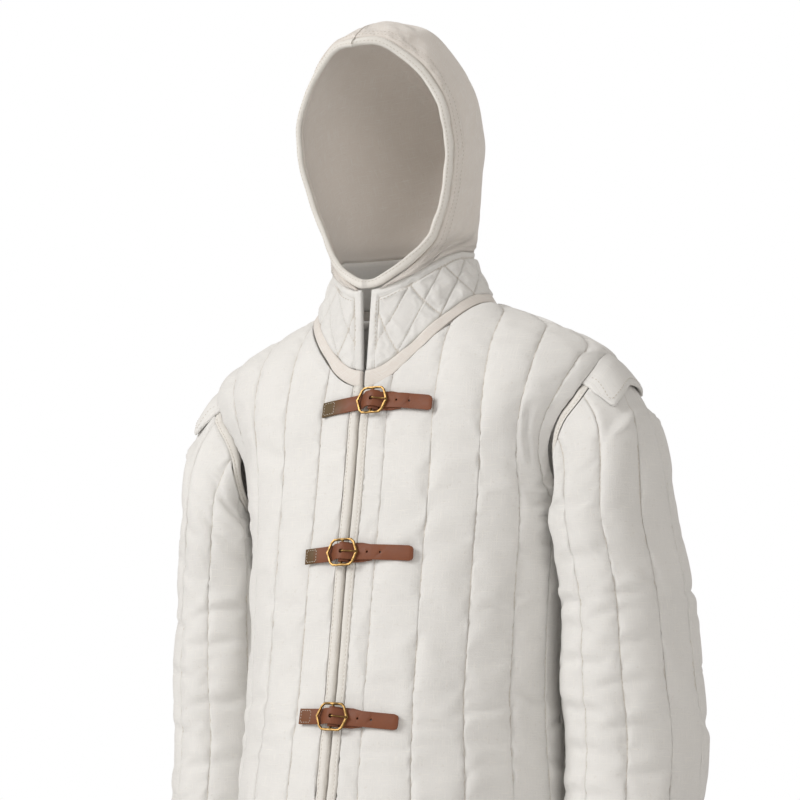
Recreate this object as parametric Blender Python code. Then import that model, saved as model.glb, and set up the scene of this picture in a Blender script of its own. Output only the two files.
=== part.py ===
"""A hooded gambeson: a padded, quilted arming coat that closes edge to edge with three buckled straps.

The coat keeps the hollow form that it has when it is worn. X points to the wearer's left, the front faces -Y,
Z is up, and the origin is on the middle line at the height of the shoulders, which hold the coat. Lengths are
in metres and angles in degrees unless a name says otherwise.
"""

import math

import bmesh
import bpy
import numpy as np
from mathutils import Vector

# ---- driving dimensions ---------------------------------------------------------------------------------

SEAM = 0.0004  # half of the parting between two pieces that are sewn together
PADDING = 0.0085  # thickness of the quilted body and sleeves at the crest of a channel
QUILT_DEPTH = 0.0038  # how far a row of stitching pulls the outer cloth in
ROUNDNESS = 2.2  # exponent of the body's and sleeves' sections, where 2 is an ellipse

HEM_HEIGHT = -0.900
ARMPIT_HEIGHT = -0.205
SHOULDER_TIP_HEIGHT = -0.062
RIDGE_LINE = 0.008  # y of the shoulder seam and the side seam

# Horizontal sections of the body: height, half width, y of the front and y of the back
BODY_LEVELS = (
    (-0.900, 0.200, -0.194, 0.166),
    (-0.700, 0.191, -0.185, 0.156),
    (-0.500, 0.177, -0.163, 0.142),
    (-0.400, 0.171, -0.146, 0.134),
    (-0.260, 0.177, -0.125, 0.131),
    (-0.200, 0.184, -0.114, 0.130),
    (-0.160, 0.194, -0.108, 0.128),
    (-0.130, 0.211, -0.104, 0.125),
    (-0.105, 0.229, -0.098, 0.121),
    (-0.082, 0.236, -0.091, 0.115),
    (-0.062, 0.228, -0.084, 0.109),
    (-0.042, 0.200, -0.075, 0.101),
    (-0.028, 0.172, -0.067, 0.094),
    (-0.012, 0.134, -0.057, 0.085),
    (0.000, 0.103, -0.050, 0.079),
    (0.006, 0.080, -0.045, 0.075),
)

# Lines of stitching on each panel, as distances along the cloth from its middle edge
STITCH_LINES_LEFT = (0.032, 0.082, 0.132, 0.182, 0.232)
STITCH_LINES_RIGHT = (0.046, 0.096, 0.146, 0.196)
STITCH_LINES_BACK = (0.000, 0.050, 0.100, 0.150, 0.200)
FREE_LINE = 0.155  # beyond this distance the lines swing with the side seam and the armhole
WAIST_HEIGHT = -0.400

ARMHOLE_MIDDLE = -0.1335  # height of the armhole's middle
ARMHOLE_HALF_HEIGHT = 0.0715
ARMHOLE_FRONT_REACH = 0.050  # how far the armhole runs forward of the ridge line
ARMHOLE_BACK_REACH = 0.058

FRONT_GAP = 0.0022  # half of the gap between the two fronts
EDGE_WIDTH = 0.009  # width of the bound edge that runs down each front
EDGE_DEPTH = 0.0093  # of the bound edge's inside below the cloth's surface
EDGE_INSIDE_ROLL = 0.6  # how round its inside is, as a share of its outside

# The bound edge's roll: share of its width and depth below the cloth's surface
EDGE_PROFILE = ((0.0, 0.0022), (0.3, -0.0008), (0.7, -0.0008), (1.0, 0.0014))

NECK_HALF_WIDTH = 0.1025
NECK_FRONT = -0.0940
NECK_BACK = 0.0790


class Rounded:
    """A smooth curve through a short table of heights and values that never overshoots its rows."""

    def __init__(self, rows, column):
        self.x = np.array([row[0] for row in rows])
        self.y = np.array([row[column] for row in rows])
        step = np.diff(self.x)
        rise = np.diff(self.y) / step
        slope = np.zeros(len(self.x))
        slope[0] = rise[0]
        slope[-1] = rise[-1]
        for k in range(1, len(rise)):
            if rise[k - 1] * rise[k] > 0:
                first = 2 * step[k] + step[k - 1]
                second = step[k] + 2 * step[k - 1]
                slope[k] = (first + second) / (first / rise[k - 1] + second / rise[k])
        self.slope = slope

    def __call__(self, value):
        value = min(max(value, self.x[0]), self.x[-1])
        k = min(int(np.searchsorted(self.x, value, side="right")) - 1, len(self.x) - 2)
        step = self.x[k + 1] - self.x[k]
        t = (value - self.x[k]) / step
        return float(
            (2 * t**3 - 3 * t**2 + 1) * self.y[k]
            + (t**3 - 2 * t**2 + t) * step * self.slope[k]
            + (3 * t**2 - 2 * t**3) * self.y[k + 1]
            + (t**3 - t**2) * step * self.slope[k + 1]
        )


body_half_width = Rounded(BODY_LEVELS, 1)
body_front = Rounded(BODY_LEVELS, 2)
body_back = Rounded(BODY_LEVELS, 3)


# ---- the form of the body -------------------------------------------------------------------------------


def body_side(height, y):
    """Returns the section's half width and the share of its depth that y reaches, at one height."""
    depth = RIDGE_LINE - body_front(height) if y < RIDGE_LINE else body_back(height) - RIDGE_LINE
    return body_half_width(height), abs(y - RIDGE_LINE) / depth


def inside_measure(x, y, height):
    """Returns a number that is 1 on the body's surface and less inside it."""
    width, share = body_side(height, y)
    return (abs(x) / width) ** ROUNDNESS + share**ROUNDNESS


def body_normal(point):
    """Returns the direction that points straight out of the body's surface."""
    step = 0.0006
    x, y, z = point
    return Vector(
        (
            inside_measure(x + step, y, z) - inside_measure(x - step, y, z),
            inside_measure(x, y + step, z) - inside_measure(x, y - step, z),
            inside_measure(x, y, z + step) - inside_measure(x, y, z - step),
        )
    ).normalized()


def surface_half_width(height, y):
    """Returns how far the body's surface is from the middle plane, at one height and y."""
    width, share = body_side(height, y)
    return width * max(1 - share**ROUNDNESS, 0) ** (1 / ROUNDNESS)


def surface_height(x, y):
    """Returns the height at which the shoulders' surface passes over a place near the neck."""
    low = -0.150
    high = BODY_LEVELS[-1][0]
    for _ in range(40):
        middle = (low + high) / 2
        if inside_measure(x, y, middle) < 1:
            low = middle
        else:
            high = middle
    return low


QUARTER_STEPS = 90
quarter_cache = {}


def quarter(height, back):
    """Returns a quarter of the section, from its middle edge to the side: distances, x and y."""
    key = (round(height, 7), back)
    if key not in quarter_cache:
        width = body_half_width(height)
        depth = body_back(height) - RIDGE_LINE if back else RIDGE_LINE - body_front(height)
        angle = np.linspace(0, math.pi / 2, QUARTER_STEPS + 1)
        x = width * np.sin(angle) ** (2 / ROUNDNESS)
        y = depth * np.cos(angle).clip(0) ** (2 / ROUNDNESS)
        distance = np.concatenate(([0], np.cumsum(np.hypot(np.diff(x), np.diff(y)))))
        quarter_cache[key] = (distance, x, RIDGE_LINE + y if back else RIDGE_LINE - y)
    return quarter_cache[key]


def side_distance(height, back):
    """Returns the distance along the cloth from the middle edge to the side or shoulder seam."""
    return float(quarter(height, back)[0][-1])


def body_point(height, distance, back=False):
    """Returns a point of the surface by its height and its distance along the cloth from the middle."""
    along, x, y = quarter(height, back)
    reach = min(abs(distance), float(along[-1]))
    sign = -1 if distance < 0 else 1
    return Vector((sign * float(np.interp(reach, along, x)), float(np.interp(reach, along, y)), height))


def armhole_y(height, back):
    """Returns the y of the armhole's edge at one height."""
    share = min(abs(height - ARMHOLE_MIDDLE) / ARMHOLE_HALF_HEIGHT, 1)
    reach = ARMHOLE_BACK_REACH if back else ARMHOLE_FRONT_REACH
    return RIDGE_LINE + (reach if back else -reach) * math.sqrt(1 - share**2)


def edge_distance(height, back):
    """Returns how far a panel reaches from its middle edge: to the side seam, or above it to the armhole."""
    if height <= ARMPIT_HEIGHT:
        return side_distance(height, back) - SEAM
    height = min(height, SHOULDER_TIP_HEIGHT)
    along, _, y = quarter(height, back)
    if back:
        along = along[::-1]
        y = y[::-1]
    return min(float(np.interp(armhole_y(height, back), y, along)), float(max(along)) - SEAM)


def cloth_distance(reference, height, back, side):
    """Spreads a column that is known by its distance at the waist to where it runs at another height."""
    spread = 1.0
    if height < WAIST_HEIGHT:
        spread = max(1.0, side_distance(height, back) / side_distance(WAIST_HEIGHT, back))
    if reference <= FREE_LINE:
        return reference * spread
    start = FREE_LINE * spread
    return start + (reference - FREE_LINE) * (edge_distance(height, back) - start) / (side - FREE_LINE)


def inside_neckline(point):
    """Says whether a point is inside the upright oval that the neckline follows."""
    middle = (NECK_FRONT + NECK_BACK) / 2
    half = (NECK_BACK - NECK_FRONT) / 2
    return (point.x / NECK_HALF_WIDTH) ** 2 + ((point.y - middle) / half) ** 2 < 1


def top_height(reference, back, side):
    """Returns the height at which a column ends, on the neckline or on the shoulder seam."""
    low = SHOULDER_TIP_HEIGHT - 0.060
    high = BODY_LEVELS[-1][0]
    for _ in range(36):
        middle = (low + high) / 2
        distance = cloth_distance(reference, middle, back, side)
        past = distance > side_distance(middle, back) - SEAM
        if past or inside_neckline(body_point(middle, distance, back)):
            high = middle
        else:
            low = middle
    return low


# ---- building walls -------------------------------------------------------------------------------------


def material(name, colour, roughness, metallic=0.0):
    """Makes a plain material."""
    made = bpy.data.materials.new(name)
    made.use_nodes = True
    shader = made.node_tree.nodes["Principled BSDF"]
    shader.inputs["Base Color"].default_value = (*colour, 1.0)
    shader.inputs["Roughness"].default_value = roughness
    shader.inputs["Metallic"].default_value = metallic
    return made


def add_object(name, mesh_points, faces, finish, crease=50):
    """Adds one closed solid with its faces turned outward."""
    mesh = bpy.data.meshes.new(name)
    mesh.from_pydata([tuple(point) for point in mesh_points], [], faces)
    work = bmesh.new()
    work.from_mesh(mesh)
    bmesh.ops.recalc_face_normals(work, faces=work.faces)
    quads = [face for face in work.faces if len(face.verts) == 4]
    bmesh.ops.triangulate(work, faces=quads, quad_method="SHORT_EDGE")
    work.to_mesh(mesh)
    work.free()
    mesh.materials.append(finish)
    mesh.shade_smooth()
    mesh.set_sharp_from_angle(angle=math.radians(crease))
    made = bpy.data.objects.new(name, mesh)
    bpy.context.scene.collection.objects.link(made)
    return made


def wall(name, outer, inner, finish, closed=False):
    """Joins an outer and an inner grid of points into one wall of cloth, closed round its rows if asked."""
    rows = len(outer)
    columns = len(outer[0])
    points = [point for row in outer for point in row] + [point for row in inner for point in row]
    lower = rows * columns

    def at(i, j):
        return i * columns + j % columns

    spans = columns if closed else columns - 1
    faces = []
    for i in range(rows - 1):
        for j in range(spans):
            ring = (at(i, j), at(i, j + 1), at(i + 1, j + 1), at(i + 1, j))
            faces.append(ring)
            faces.append(tuple(lower + k for k in reversed(ring)))
    for j in range(spans):
        for i, turn in ((0, False), (rows - 1, True)):
            side = (at(i, j), lower + at(i, j), lower + at(i, j + 1), at(i, j + 1))
            faces.append(tuple(reversed(side)) if turn else side)
    if not closed:
        for i in range(rows - 1):
            for j, turn in ((0, True), (columns - 1, False)):
                side = (at(i, j), lower + at(i, j), lower + at(i + 1, j), at(i + 1, j))
                faces.append(tuple(reversed(side)) if turn else side)
    return add_object(name, points, faces, finish)


def mirrored(grid):
    """Returns a grid on the other side of the middle plane."""
    return [[Vector((-point.x, point.y, point.z)) for point in row] for row in grid]


def grid_normals(grid, closed=False):
    """Returns the direction across a grid of points, from its neighbours along the rows and the columns."""
    rows = len(grid)
    columns = len(grid[0])
    normals = []
    for i in range(rows):
        row = []
        for j in range(columns):
            before, after = (j - 1, j + 1) if closed else (max(j - 1, 0), min(j + 1, columns - 1))
            along = grid[i][after % columns] - grid[i][before % columns]
            up = grid[min(i + 1, rows - 1)][j] - grid[max(i - 1, 0)][j]
            row.append(along.cross(up).normalized())
        normals.append(row)
    return normals


def offset(grid, normals, depth):
    """Moves a grid's points along their directions; depth may be a number or a function of row and column."""
    amount = depth if callable(depth) else lambda i, j: depth
    return [
        [point + normals[i][j] * amount(i, j) for j, point in enumerate(row)] for i, row in enumerate(grid)
    ]


# ---- body panels ----------------------------------------------------------------------------------------

LOWER_ROWS = 6
UPPER_ROWS = 9
LOWER_HEIGHTS = tuple(
    HEM_HEIGHT + (ARMPIT_HEIGHT - HEM_HEIGHT) * k / LOWER_ROWS for k in range(LOWER_ROWS + 1)
)
UPPER_SHARES = tuple((1 - math.cos(math.pi * k / UPPER_ROWS)) / 2 for k in range(1, UPPER_ROWS + 1))
CREST_SHARES = (0.28, 0.72)
BORDER_PULL = 0.35  # how deep a panel's own borders are pulled, as a share of a line of stitching


def channel_columns(lines, start, end):
    """Lays columns on the lines of stitching, with how deep each is pulled, and two on each crest."""
    columns = [(start, BORDER_PULL)]
    edges = (start, *lines, end)
    for left, right in zip(edges, edges[1:]):
        columns += [(left + (right - left) * share, 0.0) for share in CREST_SHARES]
        columns.append((right, 1.0 if right != end else BORDER_PULL))
    return columns


def panel_grid(columns, back, side):
    """Returns a body panel's surface points and outward directions, on the side of positive x."""
    heights = []
    for reference, _ in columns:
        top = SHOULDER_TIP_HEIGHT if reference == side else top_height(reference, back, side)
        heights.append([*LOWER_HEIGHTS, *(ARMPIT_HEIGHT + (top - ARMPIT_HEIGHT) * s for s in UPPER_SHARES)])
    grid = []
    for i in range(len(heights[0])):
        row = []
        for (reference, _), column_heights in zip(columns, heights):
            height = column_heights[i]
            row.append(body_point(height, cloth_distance(reference, height, back, side), back))
        grid.append(row)
    return grid, [[body_normal(point) for point in row] for row in grid]


def quilted_wall(name, grid, normals, pulls, finish):
    """Raises the channels in a panel's outer points over a plain inside."""
    outer = offset(grid, normals, lambda i, j: -QUILT_DEPTH * pulls[j])
    wall(name, outer, offset(grid, normals, -PADDING), finish)


def build_front(name, lines, is_left, finish):
    """Builds one front, from its bound edge to the side seam, the armhole, the shoulder and the neck."""
    side = side_distance(WAIST_HEIGHT, False)
    columns = channel_columns(lines, FRONT_GAP + EDGE_WIDTH + 2 * SEAM, side)
    grid, normals = panel_grid(columns, False, side)
    if not is_left:
        grid = mirrored(grid)
        normals = mirrored(normals)
    quilted_wall(name, grid, normals, [pull for _, pull in columns], finish)


def build_back(finish):
    """Builds the back in one piece across the middle."""
    side = side_distance(WAIST_HEIGHT, True)
    columns = channel_columns(STITCH_LINES_BACK[1:], 0.0, side)
    columns[0] = (0.0, 1.0)
    grid, normals = panel_grid(columns, True, side)
    whole = [mirrored([row])[0][:0:-1] + row for row in grid]
    directions = [mirrored([row])[0][:0:-1] + row for row in normals]
    pulls = [pull for _, pull in columns]
    quilted_wall("back", whole, directions, pulls[:0:-1] + pulls, finish)


def build_front_edge(name, is_left, finish):
    """Builds the bound edge of one front as a rounded roll from the hem to the neck."""
    places = [FRONT_GAP + share * EDGE_WIDTH for share, _ in EDGE_PROFILE]
    top = top_height(places[-1], False, side_distance(WAIST_HEIGHT, False))
    heights = [*LOWER_HEIGHTS, *(ARMPIT_HEIGHT + (top - ARMPIT_HEIGHT) * s for s in UPPER_SHARES[2::2])]
    grid = [[body_point(height, place) for place in places] for height in heights]
    normals = [[body_normal(point) for point in row] for row in grid]
    if not is_left:
        grid = mirrored(grid)
        normals = mirrored(normals)
    outer = offset(grid, normals, lambda i, j: -EDGE_PROFILE[j][1])
    inner = offset(grid, normals, lambda i, j: EDGE_PROFILE[j][1] * EDGE_INSIDE_ROLL - EDGE_DEPTH)
    wall(name, outer, inner, finish)


# ---- sleeves --------------------------------------------------------------------------------------------

EDGE_GAP = 0.0015  # between a bound edge and its cloth, measured over their straight facets
ARMHOLE_GAP = 0.0012  # between the body's edge and the sleeve's, to part their straight facets
ARMPIT_GAP = 0.0065  # between them where the sleeve hangs open under the arm
SLEEVE_CLEARANCE = 0.0045  # kept between the sleeve and the body's side
HEAD_END = -0.235
HEAD_SHARES = (0.0, 0.13, 0.27, 0.42, 0.57, 0.72, 0.86)
LOWER_SLEEVE_ROWS = 4
HEAD_FULLNESS = 1.10  # how far the sleeve's head swells between its edge and the arm
SLEEVE_BOUND = 0.0085  # width of the bound edge round the sleeve's head
SLEEVE_BOUND_RISE = 0.0004  # how far it stands above the cloth

TONGUE_SINK = 0.0058  # how far the sleeve's head is pressed down under the shoulder tongue
BOUND_SINK = 1.07  # how far its bound edge is pressed down there, as a share of that
TONGUE_THICKNESS = 0.0050
TONGUE_RISE = 0.0008  # how far the tongue stands above the form of the sleeve's head
TONGUE_EDGE_DROP = 0.0012
TONGUE_SPREAD = 50.0  # degrees from the shoulder seam to the tongue's front and back edges
TONGUE_BLEND_TURN = 16.0  # degrees beyond them over which the sleeve's head comes up again
TONGUE_REACH = 0.040  # over the arm, on the shoulder seam
TONGUE_CORNER = 0.008  # how much further its front and back corners reach
TONGUE_BLEND_START = 0.054  # reach at which the sleeve's head begins to come up again
TONGUE_BLEND_END = 0.070

# The sleeve below its head: height, x and y of the middle, half width and half depth
SLEEVE_LEVELS = (
    (-0.580, 0.230, 0.022, 0.062, 0.070),
    (-0.502, 0.234, 0.038, 0.068, 0.086),
    (-0.444, 0.234, 0.044, 0.070, 0.088),
    (-0.378, 0.233, 0.038, 0.067, 0.089),
    (-0.321, 0.232, 0.036, 0.063, 0.088),
    (-0.235, 0.222, 0.026, 0.062, 0.088),
)
SLEEVE_CHANNELS = 10
SLEEVE_FIRST_LINE = 30.0  # degrees from the sleeve's outer side towards the front
sleeve_middle_x = Rounded(SLEEVE_LEVELS, 1)
sleeve_middle_y = Rounded(SLEEVE_LEVELS, 2)
sleeve_half_width = Rounded(SLEEVE_LEVELS, 3)
sleeve_half_depth = Rounded(SLEEVE_LEVELS, 4)


def smooth(value, low, high):
    """Returns a share that rises softly from 0 at low to 1 at high."""
    share = min(max((value - low) / (high - low), 0), 1)
    return share * share * (3 - 2 * share)


def armhole_point(angle):
    """Returns the armhole's edge on the body, by the angle from its top towards the front."""
    height = ARMHOLE_MIDDLE + ARMHOLE_HALF_HEIGHT * math.cos(angle)
    reach = ARMHOLE_FRONT_REACH if math.sin(angle) > 0 else ARMHOLE_BACK_REACH
    y = RIDGE_LINE - reach * math.sin(angle)
    return Vector((surface_half_width(height, y), y, height))


def free_share(angle):
    """Returns 0 where the sleeve's head is sewn to the body and 1 where it hangs open under the arm."""
    return smooth(abs(math.degrees(math.remainder(angle, 2 * math.pi))), 62, 118)


def ring_point(height, angle):
    """Returns a point of the sleeve below its head, kept clear of the body's side."""
    x = sleeve_middle_x(height) + sleeve_half_width(height) * math.cos(angle)
    y = sleeve_middle_y(height) - sleeve_half_depth(height) * math.sin(angle)
    if body_side(height, y)[1] < 1:
        clear = surface_half_width(height, y) + SLEEVE_CLEARANCE
        x = clear + math.hypot(max(x - clear, 0), 0.004) - 0.0005 if x < clear + 0.012 else x
    return Vector((x, y, height))


def armhole_outward(angle):
    """Returns the direction along the cloth that leaves the body's edge for the sleeve."""
    place = armhole_point(angle)
    along = armhole_point(angle + 0.01) - armhole_point(angle - 0.01)
    outward = along.cross(body_normal(place)).normalized()
    middle = Vector((place.x, RIDGE_LINE, ARMHOLE_MIDDLE))
    return outward if outward.dot(middle - place) > 0 else -outward


def seam_point(angle):
    """Returns a point of the sleeve's upper edge, which leaves the body's edge under the arm."""
    loose = free_share(angle)
    place = armhole_point(angle) + armhole_outward(angle) * (ARMHOLE_GAP * (1 - loose))
    place.x += ARMPIT_GAP * loose
    return place


def seam_frame(angle):
    """Returns the sleeve's upper edge, the direction into its cloth and the direction out of its cloth."""
    tangent = (seam_point(angle + 0.01) - seam_point(angle - 0.01)).normalized()
    turn = math.cos(angle)
    leave = Vector((0.45 + 0.30 * turn, -0.35 * math.sin(angle), -0.83 + 0.17 * turn))
    over = (leave - tangent * leave.dot(tangent)).normalized()
    out = tangent.cross(over).normalized()
    sewn = 0.7 * (1 - free_share(angle))
    return seam_point(angle), over, out.lerp(body_normal(armhole_point(angle)), sewn).normalized()


def sleeve_nominal(angle, share):
    """Returns the sleeve's surface from its bound edge (share 0) to the end of its head's curve (share 1)."""
    start, over, _ = seam_frame(angle)
    start = start + over * (SLEEVE_BOUND + EDGE_GAP)
    end = ring_point(HEAD_END, angle)
    length = (end - start).length * HEAD_FULLNESS
    outward = (1 + math.cos(angle)) / 2
    leave = Vector((0.62 * outward, -0.10 * math.sin(angle), 0.24 * outward - 1)).normalized()
    leave = (leave + over * 0.5).normalized()
    arrive = Vector((0.10, 0.08, -1.0)).normalized()
    t = share
    return (
        start * (2 * t**3 - 3 * t**2 + 1)
        + leave * (length * (t**3 - 2 * t**2 + t))
        + end * (3 * t**2 - 2 * t**3)
        + arrive * (length * (t**3 - t**2))
    )


def across(surface, u, v, u_step, v_step):
    """Returns the direction across a surface that is known as a function of two numbers."""
    along = surface(u + u_step, v) - surface(u - u_step, v)
    down = surface(u, v + v_step) - surface(u, v - v_step)
    return along.cross(down).normalized()


def head_direction(angle, share):
    """Returns the direction out of the sleeve's head, which follows its bound edge beside it."""
    own = across(sleeve_nominal, angle, max(share, 0.02), 0.02, 0.01)
    away = (sleeve_nominal(angle, share) - sleeve_nominal(angle, 0.0)).length
    return own.lerp(seam_frame(angle)[2], 1 - smooth(away, 0.0, 0.026)).normalized()


def head_place(angle, reach):
    """Returns a place of the sleeve's head by its distance from the upper edge."""
    start, over, _ = seam_frame(angle)
    beyond = reach - SLEEVE_BOUND - EDGE_GAP
    if beyond < 0:
        return start + over * reach
    low = 0.0
    high = 1.0
    start = sleeve_nominal(angle, 0.0)
    for _ in range(30):
        middle = (low + high) / 2
        if (sleeve_nominal(angle, middle) - start).length < beyond:
            low = middle
        else:
            high = middle
    return sleeve_nominal(angle, low)


def tongue_share(angle, reach):
    """Returns how fully the shoulder tongue covers a place of the sleeve's head."""
    degrees = math.degrees(math.remainder(angle, 2 * math.pi))
    turned = smooth(abs(degrees), TONGUE_SPREAD, TONGUE_SPREAD + TONGUE_BLEND_TURN)
    return (1 - turned) * (1 - smooth(reach, TONGUE_BLEND_START, TONGUE_BLEND_END))


def build_sleeve(side, sign, finish, edge_finish):
    """Builds one sleeve and its bound upper edge, both lowered where the shoulder tongue lies on them."""
    steps = SLEEVE_CHANNELS * 3
    angles = [math.radians(SLEEVE_FIRST_LINE + 360 * k / steps) for k in range(steps)]
    cuff = SLEEVE_LEVELS[0][0]
    heights = [HEAD_END + (cuff - HEAD_END) * k / LOWER_SLEEVE_ROWS for k in range(LOWER_SLEEVE_ROWS + 1)]
    flip = mirrored if sign < 0 else list

    frames = [seam_frame(angle) for angle in angles]
    points = [[sleeve_nominal(angle, share) for angle in angles] for share in HEAD_SHARES]
    directions = [[head_direction(angle, share) for angle in angles] for share in HEAD_SHARES]
    for height in heights:
        points.append([ring_point(height, angle) for angle in angles])
        directions.append([ring_direction(height, angle) for angle in angles])

    def sunk(point, j):
        return TONGUE_SINK * tongue_share(angles[j], (point - frames[j][0]).length)

    def relief(i, j):
        return -max(QUILT_DEPTH if j % 3 == 0 else 0.0, sunk(points[i][j], j))

    def inside(i, j):
        return -PADDING - 0.5 * sunk(points[i][j], j)

    outer = flip(offset(points, directions, relief))
    inner = flip(offset(points, directions, inside))
    wall(f"sleeve_{side}", outer, inner, finish, closed=True)
    bound = [[start + over * reach for start, over, _ in frames] for reach in (0.0, SLEEVE_BOUND)]
    outs = [[out for _, _, out in frames]] * 2
    outer = flip(offset(bound, outs, lambda i, j: SLEEVE_BOUND_RISE - sunk(bound[i][j], j) * BOUND_SINK))
    inner = flip(offset(bound, outs, lambda i, j: -PADDING - 0.5 * sunk(bound[i][j], j)))
    wall(f"sleeve_edge_{side}", outer, inner, edge_finish, closed=True)


def ring_direction(height, angle):
    """Returns the direction out of the sleeve below its head."""
    return across(lambda a, h: ring_point(h, a), angle, height, 0.02, -0.002)


# ---- shoulder tongues -----------------------------------------------------------------------------------


def build_tongue(side, sign, finish):
    """Builds the stitched tongue that carries the shoulder out over the sleeve's head."""
    across = 15
    angles = [math.radians(TONGUE_SPREAD * (2 * k / (across - 1) - 1)) for k in range(across)]
    grid = []
    for share in (0.0, 0.25, 0.5, 0.75, 1.0):
        row = []
        for angle in angles:
            off = abs(math.degrees(angle)) / TONGUE_SPREAD
            reach = (TONGUE_REACH + TONGUE_CORNER * off**2) * (1 - smooth(off, 0.80, 1.05) * 0.75)
            row.append(head_place(angle, reach * share))
        grid.append(row)
    normals = [
        [
            normal.lerp(body_normal(armhole_point(angle)), 1 - i / 4).normalized()
            for normal, angle in zip(row, angles)
        ]
        for i, row in enumerate(grid_normals(grid))
    ]
    flip = mirrored if sign < 0 else list

    def rise(i, j):
        return TONGUE_RISE - (TONGUE_EDGE_DROP if i == 4 or j in (0, across - 1) else 0)

    outer = flip(offset(grid, normals, rise))
    inner = flip(offset(grid, normals, TONGUE_RISE - TONGUE_THICKNESS))
    wall(f"shoulder_tongue_{side}", outer, inner, finish)


# ---- collar ---------------------------------------------------------------------------------------------

COLLAR_THICKNESS = 0.0085
COLLAR_TOP_HALF_WIDTH = 0.0735
COLLAR_TOP_FRONT = -0.0850
COLLAR_TOP_BACK = 0.0630
COLLAR_TOP_MIDDLE = 0.058  # height of the collar's top beside the neck
COLLAR_TOP_RISE = 0.012  # how much it climbs from there to the back, and falls to the front
COLLAR_TOP_DIP = 0.036  # how much lower still it swings down to the front
COLLAR_SEAT = 0.0014  # height of the collar's lowest edge above the shoulders' surface
COLLAR_BORDER_DROP = 0.0012  # how far its borders lie below the crests of its diamonds
BAND_DROP = 0.0010
BAND_GAP = 0.008  # share of the collar's height that parts the band from the quilting
COLLAR_GAP_BASE = 0.0028  # half of the gap between the collar's front edges
COLLAR_GAP_TOP = 0.0140
COLLAR_BAND = 0.165  # share of the collar's height that its plain lower band takes
COLLAR_STEPS = 40
COLLAR_ROWS = 8
DIAMOND_STEPS = 4  # columns and rows from one diamond to the next
DIAMOND_DEPTH = 0.0034


def oval(angle, half_width, front, back):
    """Returns a place on an upright oval, by the angle from its front towards positive x."""
    middle = (front + back) / 2
    return half_width * math.sin(angle), middle - (back - front) / 2 * math.cos(angle)


def collar_base_height(angle):
    """Returns the height of the seam between the collar and the body."""
    x, y = oval(angle, NECK_HALF_WIDTH, NECK_FRONT, NECK_BACK)
    return surface_height(x, y) + COLLAR_SEAT


def collar_top_height(angle):
    """Returns the height of the collar's top edge."""
    turn = math.cos(angle)
    return COLLAR_TOP_MIDDLE - COLLAR_TOP_RISE * turn - COLLAR_TOP_DIP * max(turn, 0) ** 2


def collar_swell(angle):
    """Returns how far the collar's top stands above a straight slope from its front to its back."""
    front = collar_top_height(0)
    back = collar_top_height(math.pi)
    return collar_top_height(angle) - front - (back - front) * (1 - math.cos(angle)) / 2


def collar_point(angle, share):
    """Returns the collar's outer surface, by the angle round the neck and the share of its height."""
    x0, y0 = oval(angle, NECK_HALF_WIDTH - 0.001, NECK_FRONT + 0.001, NECK_BACK - 0.001)
    x1, y1 = oval(angle, COLLAR_TOP_HALF_WIDTH, COLLAR_TOP_FRONT, COLLAR_TOP_BACK)
    top = collar_top_height(angle)
    lean = share**0.85
    base = collar_base_height(angle)
    return Vector((x0 + (x1 - x0) * lean, y0 + (y1 - y0) * lean, base + (top - base) * share))


def collar_angles(share):
    """Returns the angles of the collar's columns, which start beside the front gap at each height."""
    gap = COLLAR_GAP_BASE + (COLLAR_GAP_TOP - COLLAR_GAP_BASE) * share
    start = math.asin(gap / (NECK_HALF_WIDTH + (COLLAR_TOP_HALF_WIDTH - NECK_HALF_WIDTH) * share))
    return [start + (2 * math.pi - 2 * start) * k / COLLAR_STEPS for k in range(COLLAR_STEPS + 1)]


def collar_part(name, shares, relief, finish):
    """Builds a stretch of the collar between two shares of its height."""
    grid = [[collar_point(angle, share) for angle in collar_angles(share)] for share in shares]
    normals = grid_normals(grid)
    wall(name, offset(grid, normals, relief), offset(grid, normals, -COLLAR_THICKNESS), finish)


def build_collar(finish, band_finish):
    """Builds the standing collar, quilted in diamonds, and the plain band that joins it to the body."""
    shares = [COLLAR_BAND + (1 - COLLAR_BAND) * k / COLLAR_ROWS for k in range(COLLAR_ROWS + 1)]

    def diamonds(i, j):
        if i in (0, COLLAR_ROWS) or j in (0, COLLAR_STEPS):
            return -COLLAR_BORDER_DROP
        rising = (i + j) % DIAMOND_STEPS == 0
        falling = (i - j) % DIAMOND_STEPS == 0
        return -DIAMOND_DEPTH if rising or falling else 0.0

    collar_part("collar", shares, diamonds, finish)
    band_shares = (0.0, 0.5 * COLLAR_BAND, COLLAR_BAND - BAND_GAP)
    collar_part("collar_band", band_shares, -BAND_DROP, band_finish)


# ---- hood -----------------------------------------------------------------------------------------------

HOOD_THICKNESS = 0.0070
HOOD_SEAT = 0.0012  # height of the hood's lowest edge above the collar's top
HOOD_FRONT_ROUNDNESS = 2.6
HOOD_BACK_ROUNDNESS = 1.65
HOOD_STEPS = 16  # rows from the collar to the crown
HOOD_CROWDING = 1.4  # how much closer the rows are towards the collar
HOOD_COLUMNS = 10
HOOD_STATIONS = 26  # rings of the bound edge on each side of the face
HOOD_BOUND = 0.0100  # width of the bound edge round the face
HOOD_EDGE_GAP = 0.0019  # between it and the hood's cloth, measured over their straight facets
HOOD_ARCH = 0.036  # how far the crown rises between its front and its back

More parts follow.
